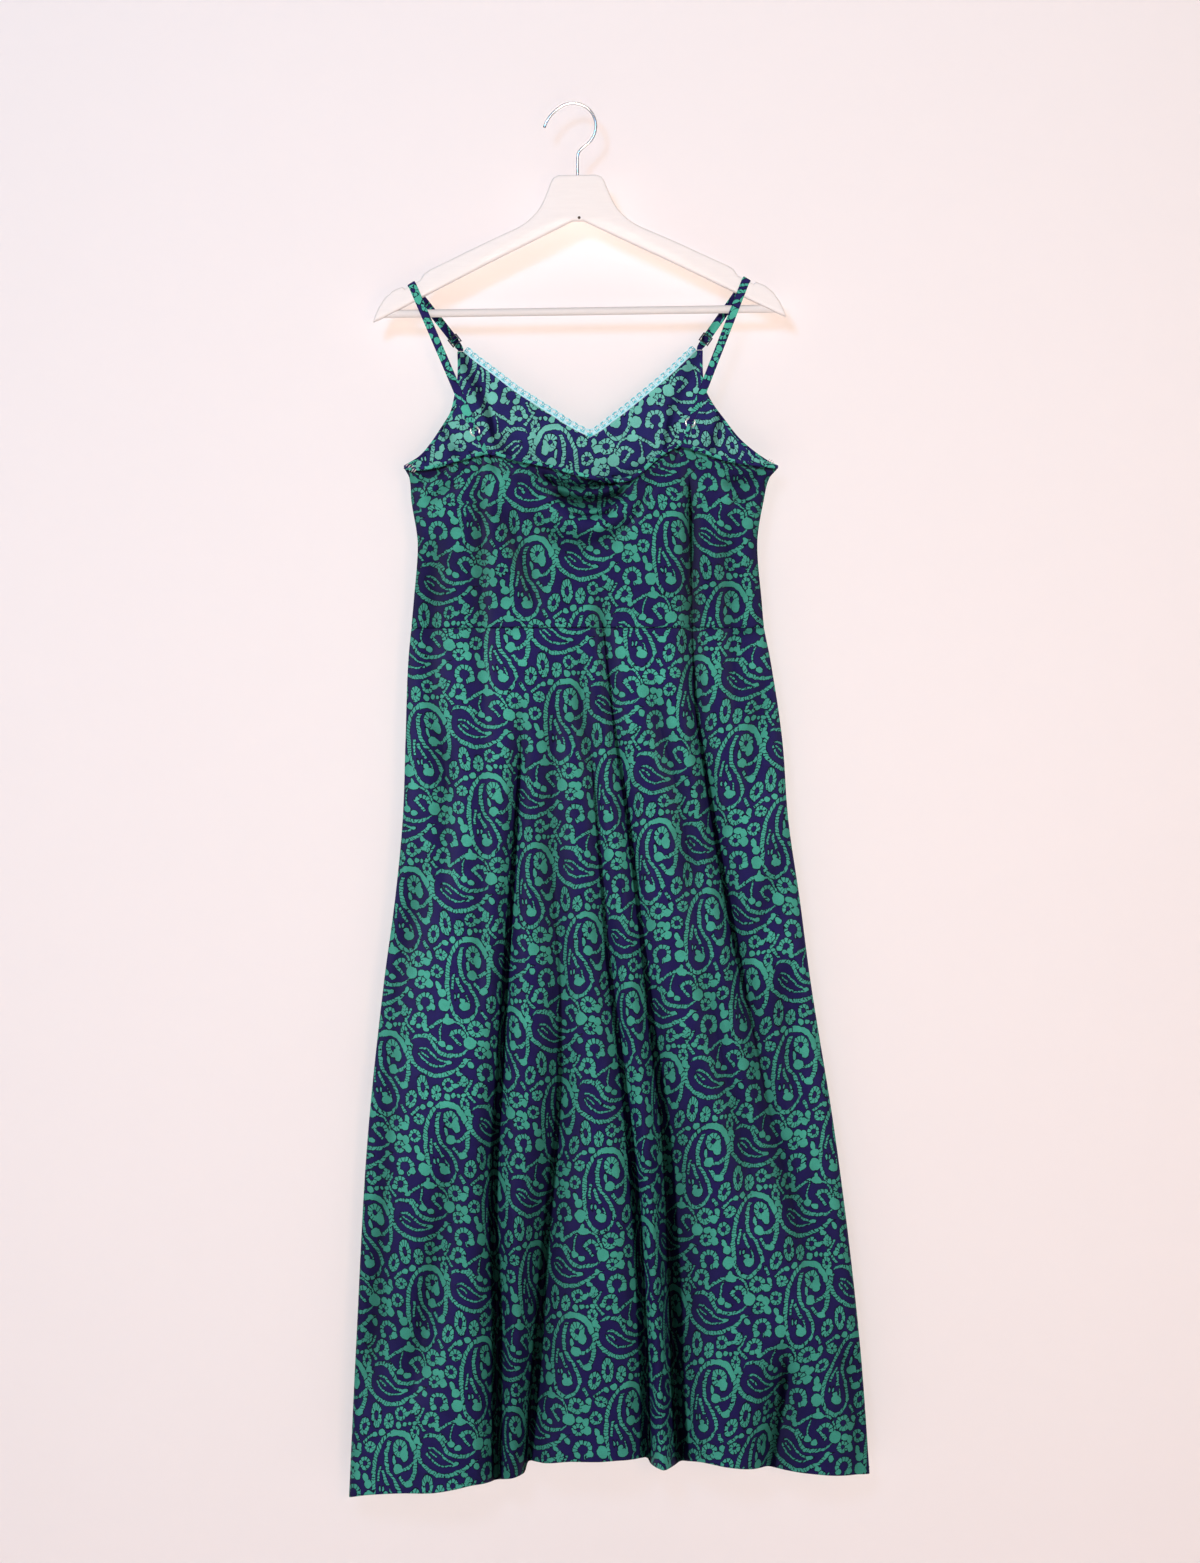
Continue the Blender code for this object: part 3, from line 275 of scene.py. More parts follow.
def paintedShadeShare(side, places):
    # painted shade: 0 on the open cloth, 1 in the bottom of the deepest fold
    look = shadeLook
    x, z = places[:, 0], places[:, 2]
    depth, _ = openCloth(side, x, z)
    recess = np.clip(1 - np.abs(places[:, 1]) / np.maximum(depth, look["leastDepth"]), 0.0, 1.0)
    recess = recess * smoothStep(depth / look["fullDepth"])
    soft = np.clip(1 - foldsAt(side, x, z, look["spread"])[0], 0.0, 1.0)
    share = look["recess"] * recess + look["soft"] * soft
    share = np.maximum(share, look["waistLine"] * hump(z - dressShape["waist"], look["waistWidth"]))
    if side == backSide:
        below = edgeHeight(dressShape["backTop"], x) - z
        underEdge = np.maximum(look["edgeLine"] * hump(below - look["edgeAt"], look["edgeWidth"]),
                               look["underEdge"] * hump(below, look["underReach"]))
        share = np.maximum(share, np.where(z > dressShape["waist"], underEdge, 0.0))
    fromSide = np.maximum(np.minimum(x - outlineAt(1, z), outlineAt(2, z) - x), 0.0)
    share = np.maximum(share, look["sides"] * hump(fromSide, look["sideReach"]))
    share = share + look["chest"] * smoothStep((z - look["chestFrom"]) / look["chestReach"])
    share = share + look["hem"] * smoothStep((look["hemFrom"] - z) / look["hemReach"])
    return np.minimum(share, 1.0)


def clothNormal(side, x, z):
    step = dressShape["normalStep"]
    alongX = clothPlace(side, x + step, z) - clothPlace(side, x - step, z)
    alongZ = clothPlace(side, x, z + step) - clothPlace(side, x, z - step)
    normal = np.cross(alongX, alongZ)
    normal /= np.linalg.norm(normal, axis=-1, keepdims=True)
    return normal * np.where(normal[..., 1:2] * side > 0, 1.0, -1.0)


def feed(tree, value, socket):
    if isinstance(value, bpy.types.NodeSocket):
        tree.links.new(value, socket)
    else:
        socket.default_value = value


def addNode(tree, kind, inputs=(), **settings):
    node = tree.nodes.new("ShaderNode" + kind)
    for key, value in settings.items():
        setattr(node, key, value)
    for key, value in dict(inputs).items():
        feed(tree, value, node.inputs[key])
    return node


def calc(tree, operation, *values):
    return addNode(tree, "Math", dict(enumerate(values)), operation=operation).outputs[0]


def calcVector(tree, operation, *values):
    node = addNode(tree, "VectorMath", dict(enumerate(values)), operation=operation)
    return node.outputs["Value" if operation in ("DOT_PRODUCT", "LENGTH", "DISTANCE") else "Vector"]


def curveNode(tree, value, table):
    # a curve through (key, value) pairs, both from 0 to 1
    node = addNode(tree, "FloatCurve", {"Value": value})
    points = node.mapping.curves[0].points
    while len(points) < len(table):
        points.new(0.5, 0.5)
    for point, (key, height) in zip(points, sorted(table)):
        point.location = (key, height)
    node.mapping.update()
    return node.outputs[0]


def rgba(colour, shade=1.0):
    return (*(part * shade for part in colour), 1)


def mixColour(tree, factor, first, second, blend="MIX"):
    node = addNode(tree, "Mix", data_type="RGBA", blend_type=blend)
    feed(tree, factor, node.inputs[0])
    feed(tree, first, node.inputs[6])
    feed(tree, second, node.inputs[7])
    return node.outputs[2]


def noiseOf(tree, place, scale, detail, **settings):
    return addNode(tree, "TexNoise", {"Vector": place, "Scale": scale, "Detail": detail}, **settings).outputs[0]


def clothUv(tree):
    return addNode(tree, "UVMap", uv_map="cloth").outputs[0]


def objectPlace(tree):
    return addNode(tree, "TexCoord").outputs["Object"]


def newMaterial(name, roughness, metallic=0.0, specular=0.5, sheen=0.0, coat=0.0):
    material = bpy.data.materials.new(name)
    material.use_nodes = True
    shader = material.node_tree.nodes["Principled BSDF"]
    for key, value in (("Roughness", roughness), ("Metallic", metallic), ("Specular IOR Level", specular),
                       ("Sheen Weight", sheen), ("Coat Weight", coat)):
        shader.inputs[key].default_value = value
    return material, material.node_tree, shader


def finishLook(tree, shader, colour, height, strength, distance):
    # the colour, and a fine relief whose distance is in metres
    feed(tree, colour, shader.inputs["Base Color"])
    bump = addNode(tree, "Bump", {"Height": height, "Strength": strength, "Distance": distance})
    feed(tree, bump.outputs[0], shader.inputs["Normal"])


# The print: a batik paisley on a slanted repeat. Places are in millimetres from each motif's own centre.
# crack is half the width of the dark cracks, dash their spacing, rim the dark edge round each shape, and wider is
# added to the half width of every band.
printRepeat = dict(
    stepDown=(59.5, -74.4), stepUp=(95.7, 99.9), span=120.0, crack=0.46, dash=4.1, lineCracks=1.15, ringCracks=0.75,
    fewestCracks=5, wider=-0.1, rim=0.75, rimShade=0.3, wobble=1.6, bendScale=0.16, bendDetail=2.0, bendRoughness=0.6,
    jitter=1.3)
uprightPaisley = dict(
    centre=(0.0, 0.0), half=2.3, crescent=(70, 25, 0.9), gap=(-50, 18),
    # angle and radius
    outline=((-180, 21.5), (-154, 24.3), (-136, 28.7), (-123, 35.1), (-114, 40.4), (-104, 44.4), (-97, 45.6),
             (-88, 42.3), (-78, 36.1), (-70, 29.4), (-50, 23), (-29, 22.5), (-10, 23.7), (4, 24.3), (20, 26.2),
             (32, 29.7), (45, 32.7), (59, 36.7), (71, 40.7), (83, 41.9), (96, 40.4), (107, 36.8), (120, 31.5),
             (138, 26.1), (159, 22.7), (180, 21.5)),
    # lines: points, half width, turn of the frame in which they run from left to right
    lines=((((-4.2, 32.7), (-6.3, 27.8), (-8, 18.3), (-7.4, 8.9), (-5.6, 1.5), (-2.1, -3.9), (1.9, -8.4),
             (4.8, -13.8), (8.3, -21.1), (10.1, -29)), 2.1, -90),
           (((-14.5, 5.5), (-16, -2.9), (-16.3, -10.5)), 1.3, -90), (((-11.8, 1), (-8.7, -7.1),
            (-4.7, -14.5)), 1.6, -65),
           (((-2.3, -17.5), (0.1, -24.4), (0.6, -29)), 0.9, -90), (((7.3, -5), (9.8, -8.2), (12.7, -12)), 1.7, -50),
           (((7.5, 2.5), (13.2, 2), (19.2, 5.4), (24, 10.5)), 1.8, 25)),
    # rings: x, z, half width, half height, turn, inner share
    rings=((7.1, 24.9, 7.7, 9.6, 12, 0.36),),
    # blobs: x, z, half width, half height, turn
    blobs=((11.9, 17.9, 4.3, 6.8, 10), (5.4, 3.4, 5, 5.2, 20), (0.9, 12.6, 1.7, 4.8, 8), (17.5, -13.5, 4.9, 3.5, 0),
           (-13.9, -18.7, 0.9, 2.5, 8), (-10, -18.5, 1, 2.4, 0), (-6.6, -23.4, 2.8, 2.5, 0),
           (-4, -29.4, 5.7, 4.5, 0), (-13.8, 41.1, 3.6, 3.2, 30), (-22, 38.2, 3.1, 2.7, 0)),
    arcs=())
leaningPaisley = dict(
    centre=(53.0, 17.0), half=2.2, crescent=None, gap=(72, 76),
    outline=((-180, 25), (-165, 23.3), (-140, 20.2), (-115, 19), (-98, 19.7), (-75, 20.2), (-58, 21.8), (-40, 24.2),
             (-24, 29), (-8, 34.6), (-1, 41), (10, 42.5), (40, 25), (90, 22), (149, 26.8), (170, 25.8), (180, 25)),
    lines=((((-21, 19), (-17.5, 21.4), (-11.9, 22.3), (-4, 20.6), (1.3, 13.7), (6.6, 5.7), (13.2, 2.3), (23.8, 1.7),
             (31.7, 3.4), (38.5, 8)), 2.2, -28),
           (((-14.5, 8.8), (-7.9, 8.2), (-1.3, 3.4), (5.3, -2.3), (17.5, -6)), 1.15, -30),
           (((-16, 3.8), (-10.6, -3.6), (-1, -9), (10.6, -8.8), (18.5, -6)), 1.15, -25),
           (((-13.2, 5), (-9, 2.4), (-4.8, -1.4)), 0.95, -40), (((-2, 23.6), (1.8, 20), (5.4, 15.8)), 1.6, -45),
           (((-4.6, 28.6), (0, 30.9), (5.3, 34.4), (14, 39.2)), 1.5, 35),
           (((21, 37.8), (30.4, 36.2), (37, 28.6), (39.8, 20)), 1.2, -45),
           (((12.6, 35.5), (10.2, 27.5), (9.6, 22), (10.6, 17)), 0.9, -90),
           (((20, 24.6), (24.8, 19), (30.6, 12.4)), 1.5, -50)),
    rings=(),
    blobs=((40.7, 14.3, 6.5, 6.5, 0), (19.8, 38.4, 6.2, 3.8, -8), (19, 43, 2, 3.4, 0), (-4.6, 28.6, 3.1, 2.3, 0),
           (10.6, 14.2, 4, 3.3, -20), (18.2, 10.2, 3.8, 2.9, -10), (16, -5.8, 3.4, 1.9, 0)),
    # arcs: x, z, radius, half width, middle angle, half span
    arcs=((28.4, 20.6, 7, 2.2, 75, 85),))
upperFillers = dict(
    centre=(45.0, 70.0), half=0, crescent=None, gap=None, outline=(),
    lines=((((-20.5, -12.5), (-17, -19), (-10.5, -27)), 1.5, -60),
           (((-12.5, -2.5), (-15.5, -9), (-19, -14)), 1.3, -90)),
    rings=((-0.7, 25.4, 6.5, 6.4, 0, 0.4), (-21.8, -28.1, 5, 6.6, 10, 0.42), (-20.4, -4.6, 4.2, 5.8, -20, 0.35)),
    blobs=((-1.5, -1.4, 3.3, 2.9, 0), (12, -0.6, 3.1, 3.3, 0), (24.5, 2, 6, 6.6, 15), (-11.1, -17.1, 3.1, 2.8, 0),
           (-5, -20.3, 2.5, 2.4, 0), (1.8, -20.4, 2.8, 3, 0), (-19.3, -37.4, 3.2, 3.8, -20), (9, 24.3, 4, 4.8, 15),
           (19.2, 22.4, 2.7, 4.6, 20), (22.6, 15, 4.4, 4.4, 0), (-33.1, -19.9, 2.1, 2, 0),
           (-39.7, -20.8, 3, 3.2, 0), (-27.6, -19.6, 1.7, 2, 0), (-22, -19.1, 2.6, 2.1, 0), (-30, -9, 3.2, 2.4, 30),
           (-12, 12.5, 3, 3.8, 30), (-26, 4, 2.4, 2.8, 0), (-17, 18, 2.6, 2.4, 0)),
    arcs=((4, 4.6, 7.9, 2.4, 75, 152), (-3.3, -13.8, 6, 2.3, 60, 146)))
lowerFillers = dict(
    centre=(28.0, -42.0), half=0, crescent=None, gap=None, outline=(),
    lines=((((-14.9, 7.5), (-12.6, 3.6), (-10, -0.8)), 1.7, -60), (((-3.6, -2.6), (1.5, 1.6), (6, 5.6)), 1.4, 40),
           (((-9, -6), (-7.6, -10.5), (-8.6, -15)), 1.4, -90)),
    rings=((-22.1, -11.7, 8.7, 8.6, 0, 0.44), (-1.3, -25, 6.6, 7, 0, 0.46), (4.3, -7.3, 6.3, 5.7, 0, 0.3),
           (-2.9, 14.4, 6.2, 9.8, -16, 0.42), (11.1, 26.5, 6, 13, 3, 0.44), (25.4, 21.3, 5.2, 8.3, -6, 0.24),
           (38.8, 29.6, 6.3, 7.2, 0, 0.48)),
    blobs=((-12.1, -14.9, 4, 4.3, 0), (-18.4, -26.5, 4.1, 3.4, 0), (-12, -29, 3.6, 4.6, 0), (-9, -6.7, 2.9, 3.3, 0),
           (36, 17.5, 2.7, 3.3, 0), (16.8, 9.4, 2.2, 1.8, 40), (43.6, 18.6, 2.4, 2.2, 0), (30.4, 8.8, 2.4, 2.6, 0)),
    arcs=((50, 36, 5.6, 2, -20, 85),))


def drawMotif(tree, lattice, jitter, motif, mask):
    # mask says how far a place lies inside the nearest shape, as a share of the span; minus is outside
    span = printRepeat["span"]
    dash = printRepeat["dash"]
    stepDown, stepUp = Vector(printRepeat["stepDown"]), Vector(printRepeat["stepUp"])
    area = stepDown.x * stepUp.y - stepUp.x * stepDown.y
    cx, cz = motif["centre"]
    shift = ((stepUp.y * cx - stepUp.x * cz) / area, (stepDown.x * cz - stepDown.y * cx) / area, 0)
    moved = calcVector(tree, "SUBTRACT", lattice, shift)
    wrapped = calcVector(tree, "WRAP", moved, (0.5, 0.5, 0.5), (-0.5, -0.5, -0.5))
    x = calcVector(tree, "DOT_PRODUCT", wrapped, (stepDown.x / span, stepUp.x / span, 0))
    z = calcVector(tree, "DOT_PRODUCT", wrapped, (stepDown.y / span, stepUp.y / span, 0))
    place = addNode(tree, "CombineXYZ", {"X": x, "Y": z}).outputs[0]

    def localPlace(px, pz, turn, wide=span, tall=span):
        inputs = {"Vector": place, "Location": (px / span, pz / span, 0), "Scale": (wide / span, tall / span, 1),
                  "Rotation": (0, 0, math.radians(turn))}
        return addNode(tree, "Mapping", inputs, vector_type="TEXTURE").outputs[0]

    def within(value, middle, half):
        away = calc(tree, "ABSOLUTE", calc(tree, "SUBTRACT", value, middle))
        return calc(tree, "SUBTRACT", half, away)

    def fromCracks(run, perUnit):
        # the cracks lie across the run, one at each whole number
        spread = calc(tree, "PINGPONG", calc(tree, "MULTIPLY_ADD", run, perUnit, jitter), 0.5)
        return calc(tree, "MULTIPLY_ADD", spread, dash / span, -printRepeat["crack"] / span)

    def turnOf(local):
        parts = addNode(tree, "SeparateXYZ", {"Vector": local})
        return calc(tree, "ARCTAN2", parts.outputs[1], parts.outputs[0])

    def join(mask, value, *limits):
        for limit in limits:
            value = calc(tree, "MINIMUM", value, limit)
        return calc(tree, "MAXIMUM", mask, value)

    if motif["outline"]:
        length = calcVector(tree, "LENGTH", place)
        turn = calc(tree, "MULTIPLY_ADD", calc(tree, "ARCTAN2", z, x), 1 / math.tau, 0.5)
        radius = curveNode(tree, turn, [(a / 360 + 0.5, r / span) for a, r in motif["outline"]])
        around = math.tau * sum(r for _, r in motif["outline"]) / len(motif["outline"])
        whole = fromCracks(turn, round(around / dash))
        half = (motif["half"] + printRepeat["wider"]) / span
        if motif["crescent"]:
            middle, halfSpan, extra = motif["crescent"]
            solid = calc(tree, "COMPARE", turn, middle / 360 + 0.5, halfSpan / 360)
            whole = calc(tree, "MAXIMUM", whole, solid)
            half = calc(tree, "MULTIPLY_ADD", solid, extra / span, half)
        middle, halfSpan = motif["gap"]
        band = calc(tree, "MINIMUM", within(length, radius, half), whole)
        gap = calc(tree, "MULTIPLY", within(turn, middle / 360 + 0.5, halfSpan / 360), -around / span)
        mask = join(mask, band, gap)
    for points, half, turn in motif["lines"]:
        parts = addNode(tree, "SeparateXYZ", {"Vector": localPlace(0, 0, turn)})
        cos, sin = math.cos(math.radians(turn)), math.sin(math.radians(turn))
        turned = [((px * cos + pz * sin) / span, (pz * cos - px * sin) / span) for px, pz in points]
        start, end = turned[0][0], turned[-1][0]
        line = curveNode(tree, calc(tree, "ADD", parts.outputs[0], 0.5), [(u + 0.5, v + 0.5) for u, v in turned])
        band = within(calc(tree, "ADD", parts.outputs[1], 0.5), line, (half + printRepeat["wider"]) / span)
        ends = within(parts.outputs[0], (start + end) / 2, (end - start) / 2)
        mask = join(mask, band, ends, fromCracks(parts.outputs[0], span / dash * printRepeat["lineCracks"]))
    for px, pz, wide, tall, turn, inner in motif["rings"]:
        local = localPlace(px, pz, turn, wide, tall)
        band = within(calcVector(tree, "LENGTH", local), (1 + inner) / 2, (1 - inner) / 2)
        band = calc(tree, "MULTIPLY", band, min(wide, tall) / span)
        count = round((wide + tall) * printRepeat["ringCracks"] * math.pi / dash)
        count = max(count, printRepeat["fewestCracks"])
        mask = join(mask, band, fromCracks(turnOf(local), count / math.tau))
    for px, pz, radius, half, middle, halfSpan in motif["arcs"]:
        local = localPlace(px, pz, middle)
        band = within(calcVector(tree, "LENGTH", local), radius / span, (half + printRepeat["wider"]) / span)
        angle = turnOf(local)
        ends = calc(tree, "MULTIPLY", within(angle, 0.0, math.radians(halfSpan)), radius / span)
        mask = join(mask, band, ends, fromCracks(angle, radius / dash))
    for px, pz, wide, tall, turn in motif["blobs"]:
        local = localPlace(px, pz, turn, wide, tall)
        size = min(wide, tall) / span
        mask = join(mask, calc(tree, "MULTIPLY_ADD", calcVector(tree, "LENGTH", local), -size, size))
    return mask


def makePrintGroup():
    look = printRepeat
    tree = bpy.data.node_groups.new("paisleyPrint", "ShaderNodeTree")
    tree.interface.new_socket("Place", in_out="INPUT", socket_type="NodeSocketVector")
    tree.interface.new_socket("Inside", in_out="OUTPUT", socket_type="NodeSocketFloat")
    start = tree.nodes.new("NodeGroupInput")
    place = calcVector(tree, "SCALE", start.outputs[0])
    place.node.inputs["Scale"].default_value = 1 / mm
    noise = addNode(tree, "TexNoise", {"Vector": place, "Scale": look["bendScale"], "Detail": look["bendDetail"],
                                       "Roughness": look["bendRoughness"]}, noise_dimensions="2D")
    bent = calcVector(tree, "SUBTRACT", noise.outputs["Color"], (0.5, 0.5, 0.5))
    moved = calcVector(tree, "MULTIPLY_ADD", bent, (look["wobble"] * 2,) * 3, place)
    jitter = calc(tree, "MULTIPLY", noise.outputs[0], look["jitter"])
    (ax, az), (bx, bz) = look["stepDown"], look["stepUp"]
    area = ax * bz - bx * az
    s = calcVector(tree, "DOT_PRODUCT", moved, (bz / area, -bx / area, 0))
    t = calcVector(tree, "DOT_PRODUCT", moved, (-az / area, ax / area, 0))
    lattice = addNode(tree, "CombineXYZ", {"X": s, "Y": t}).outputs[0]
    mask = -1.0
    for motif in (uprightPaisley, leaningPaisley, upperFillers, lowerFillers):
        mask = drawMotif(tree, lattice, jitter, motif, mask)
    end = tree.nodes.new("NodeGroupOutput")
    tree.links.new(calc(tree, "MULTIPLY", mask, look["span"]), end.inputs[0])
    return tree


printGroup = makePrintGroup()
clothLook = dict(
    specular=0.08, yarnScale=900.0, dyeScale=60.0, unevenness=0.45, weaveScale=420.0, weaveBend=1.5,
    relief=(0.12, 0.0001),
    # paintedShadeStrength is how far the painted shade kept in the fold attribute darkens the colour
    outside=dict(leaf=(0.0565, 0.333, 0.250), ground=(0.0145, 0.0106, 0.0790), roughness=0.58, paintedShadeStrength=0.80),
    inside=dict(leaf=(0.124, 0.390, 0.330), ground=(0.0155, 0.0150, 0.094), roughness=0.72, paintedShadeStrength=0.0))


def makePrintCloth(name, leaf, ground, roughness, paintedShadeStrength):
    look = clothLook
    material, tree, shader = newMaterial(name, roughness, specular=look["specular"])
    place = clothUv(tree)
    pattern = addNode(tree, "Group", node_tree=printGroup)
    feed(tree, place, pattern.inputs[0])
    inRim = calc(tree, "GREATER_THAN", pattern.outputs[0], -printRepeat["rim"])
    inLeaf = calc(tree, "GREATER_THAN", pattern.outputs[0], 0.0)
    colour = mixColour(tree, inRim, rgba(ground), rgba(ground, printRepeat["rimShade"]))
    colour = mixColour(tree, inLeaf, colour, rgba(leaf))
    yarn = noiseOf(tree, place, look["yarnScale"], 2.0, noise_dimensions="2D")
    dye = noiseOf(tree, place, look["dyeScale"], 3.0, noise_dimensions="2D")
    shade = calc(tree, "MULTIPLY_ADD", calc(tree, "ADD", yarn, dye), look["unevenness"], 1 - look["unevenness"])
    # painted shade: the fold attribute darkens the colour in folds, along the waist seam, under the top edge, at the
    # sides, over the chest and towards the hem
    if paintedShadeStrength:
        fold = addNode(tree, "Attribute", attribute_name="fold").outputs["Fac"]
        shade = calc(tree, "MULTIPLY", shade, calc(tree, "MULTIPLY_ADD", fold, -paintedShadeStrength, 1.0))
    tone = addNode(tree, "CombineColor", {0: shade, 1: shade, 2: shade}).outputs[0]
    colour = mixColour(tree, 1.0, colour, tone, "MULTIPLY")
    inputs = {"Vector": place, "Scale": look["weaveScale"], "Distortion": look["weaveBend"], "Detail": 1.0}
    weave = addNode(tree, "TexWave", inputs, wave_type="BANDS", bands_direction="DIAGONAL").outputs["Fac"]
    finishLook(tree, shader, colour, weave, *look["relief"])
    return material


outsideCloth = makePrintCloth("printSatin", **clothLook["outside"])
insideCloth = makePrintCloth("printSatinInside", **clothLook["inside"])

# tape, mitre and the 119 spaces are measured along and across the lace in metres
laceDye = dict(
    tape=0.0016, spaces=119.0, spaceShare=0.55, mitre=0.0038, threadScale=700.0, threadBend=2.0, relief=(0.4, 0.0002),
    deep=((0.09, 0.42, 0.485), (0.155, 0.505, 0.57)), light=((0.32, 0.63, 0.70), (0.49, 0.75, 0.81)),
    corner=(0.05, 0.44, 0.46))


def makeLaceMaterial():
    look = laceDye
    material, tree, shader = newMaterial("aquaLace", 0.7, specular=0.3, sheen=0.2)
    place = clothUv(tree)
    parts = addNode(tree, "SeparateXYZ", {"Vector": place})
    tape = calc(tree, "LESS_THAN", parts.outputs[1], look["tape"])
    run = calc(tree, "FRACT", calc(tree, "MULTIPLY", parts.outputs[0], look["spaces"]))
    pale = calc(tree, "MAXIMUM", tape, calc(tree, "GREATER_THAN", run, look["spaceShare"]))
    mitre = calc(tree, "LESS_THAN", parts.outputs[0], look["mitre"])
    inputs = {"Vector": place, "Scale": look["threadScale"], "Distortion": look["threadBend"]}
    thread = addNode(tree, "TexWave", inputs, wave_type="BANDS").outputs["Fac"]
    deep, light = (mixColour(tree, thread, *map(rgba, look[key])) for key in ("deep", "light"))
    colour = mixColour(tree, mitre, mixColour(tree, pale, deep, light), rgba(look["corner"]))
    finishLook(tree, shader, colour, thread, *look["relief"])
    return material


# small dark marks: the crotch one is painted shade standing for a small hole under the hanger's crotch, the tip one
# darkens the hook's end; x, y, z and radius in metres
spotLook = dict(
    colour=(0.055, 0.035, 0.025), crotch=(0.0065, -0.006, -0.1213, 0.0016), tip=(-0.0308, 0.0, -0.0246, 0.0021))


def withSpot(tree, place, tone, spot):
    near = calc(tree, "LESS_THAN", calcVector(tree, "DISTANCE", place, spot[:3]), spot[3])
    return mixColour(tree, near, tone, rgba(spotLook["colour"]))


# the grain's scale is finer across the wood than along it
paintLook = dict(
    roughness=0.62, specular=0.25, coat=0.03, grain=(18, 160, 160), fibreScale=2.0, relief=(0.08, 0.0004),
    # barPaintedShade darkens the bar's copy of the white paint as painted shade
    dark=(0.88, 0.815, 0.79), light=(0.945, 0.885, 0.86), barPaintedShade=0.87)


def makePaint(name, shade=1.0):
    look = paintLook
    material, tree, shader = newMaterial(name, look["roughness"], specular=look["specular"], coat=look["coat"])
    place = objectPlace(tree)
    grain = addNode(tree, "Mapping", {"Vector": place, "Scale": look["grain"]}).outputs[0]
    fibre = noiseOf(tree, grain, look["fibreScale"], 5.0)
    tone = mixColour(tree, fibre, rgba(look["dark"], shade), rgba(look["light"], shade))
    # the crotch spot is painted shade of a small hole
    finishLook(tree, shader, withSpot(tree, place, tone, spotLook["crotch"]), fibre, *look["relief"])
    return material


metalLook = dict(scuffScale=420.0, scuffRoughness=0.12, relief=(0.05, 0.0001))


def makeMetal(name, dark, light, roughness, metallic=1.0, spot=None):
    material, tree, shader = newMaterial(name, roughness, metallic=metallic)
    place = objectPlace(tree)
    scuff = noiseOf(tree, place, metalLook["scuffScale"], 4.0)
    tone = mixColour(tree, scuff, rgba(dark), rgba(light))
    if spot:
        tone = withSpot(tree, place, tone, spot)
    spread = metalLook["scuffRoughness"]
    feed(tree, calc(tree, "MULTIPLY_ADD", scuff, spread, roughness - spread / 2), shader.inputs["Roughness"])
    finishLook(tree, shader, tone, scuff, *metalLook["relief"])
    return material


laceCloth = makeLaceMaterial()
whitePaint = makePaint("whitePaint")
# the bar's copy of the white paint is made darker: painted shade
shadedBarPaint = makePaint("shadedBarPaint", paintLook["barPaintedShade"])
chromeWire = makeMetal("chromeWire", (0.58, 0.59, 0.62), (0.78, 0.79, 0.82), 0.14, spot=spotLook["tip"])
paleThread, _, threadShader = newMaterial("paleThread", 0.8, specular=0.1)
threadShader.inputs["Base Color"].default_value = rgba((0.52, 0.42, 0.43))
silverRing = makeMetal("silverRing", (0.60, 0.57, 0.52), (0.86, 0.83, 0.78), 0.30, metallic=0.55)
darkEnamel = makeMetal("darkSlider", (0.010, 0.012, 0.028), (0.03, 0.035, 0.06), 0.60, metallic=0.0)
print("materials made,", len(printGroup.nodes), "nodes in the print")

clothThickness = 0.5
# points nearer than this, in metres, become one
weldReach = 0.00001


def addPatch(bm, places, cover):
    # a grid whose points go to their places; cover is the flat place on the cloth, for the print
    rows, columns = places.shape[:2]
    uvLayer = bm.loops.layers.uv.get("cloth") or bm.loops.layers.uv.new("cloth")
    made = bmesh.ops.create_grid(bm, x_segments=columns - 1, y_segments=rows - 1, size=0.5)["verts"]
    spot = {}
    for vert in made:
        spot[vert] = (round((vert.co.y + 0.5) * (rows - 1)), round((vert.co.x + 0.5) * (columns - 1)))
    for vert, place in spot.items():
        vert.co = places[place] * mm
    for face in {face for vert in made for face in vert.link_faces}:
        for loop in face.loops:
            loop[uvLayer].uv = cover[spot[loop.vert]] * mm


def makeMesh(name, bm, *materials):
    mesh = bpy.data.meshes.new(name)
    bm.to_mesh(mesh)
    bm.free()
    for material in materials:
        mesh.materials.append(material)
    return mesh


def makeObject(name, data):
    made = bpy.data.objects.new(name, data)
    bpy.context.collection.objects.link(made)
    return made


def finishPiece(name, bm, materials, nodes=(), sharp=50.0):
    mesh = makeMesh(name, bm, *materials)
    mesh.shade_smooth()
    mesh.set_sharp_from_angle(angle=math.radians(sharp))
    piece = makeObject(name, mesh)
    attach(piece, "root")
    if nodes:
        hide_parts(*nodes)
    return piece


def finishSolid(name, bm, material, node, sharp=50.0):
    # bm is in millimetres
    bmesh.ops.recalc_face_normals(bm, faces=bm.faces)
    bmesh.ops.scale(bm, vec=(mm, mm, mm), verts=bm.verts)
    return finishPiece(name, bm, [material], [node], sharp)


def faceOutwards(bm, side):
    bm.normal_update()
    if sum(face.normal.y * face.calc_area() for face in bm.faces) * side < 0:
        bmesh.ops.reverse_faces(bm, faces=bm.faces)


def giveThickness(piece, thickness, innerMaterial=0):
    wall = piece.modifiers.new("thickness", "SOLIDIFY")
    wall.thickness = thickness * mm
    wall.offset = 0.0
    wall.material_offset = innerMaterial
    return piece


def closeTubes(bm):
    bmesh.ops.remove_doubles(bm, verts=bm.verts, dist=weldReach)
    bmesh.ops.holes_fill(bm, edges=[edge for edge in bm.edges if edge.is_boundary], sides=0)
    bmesh.ops.recalc_face_normals(bm, faces=bm.faces)


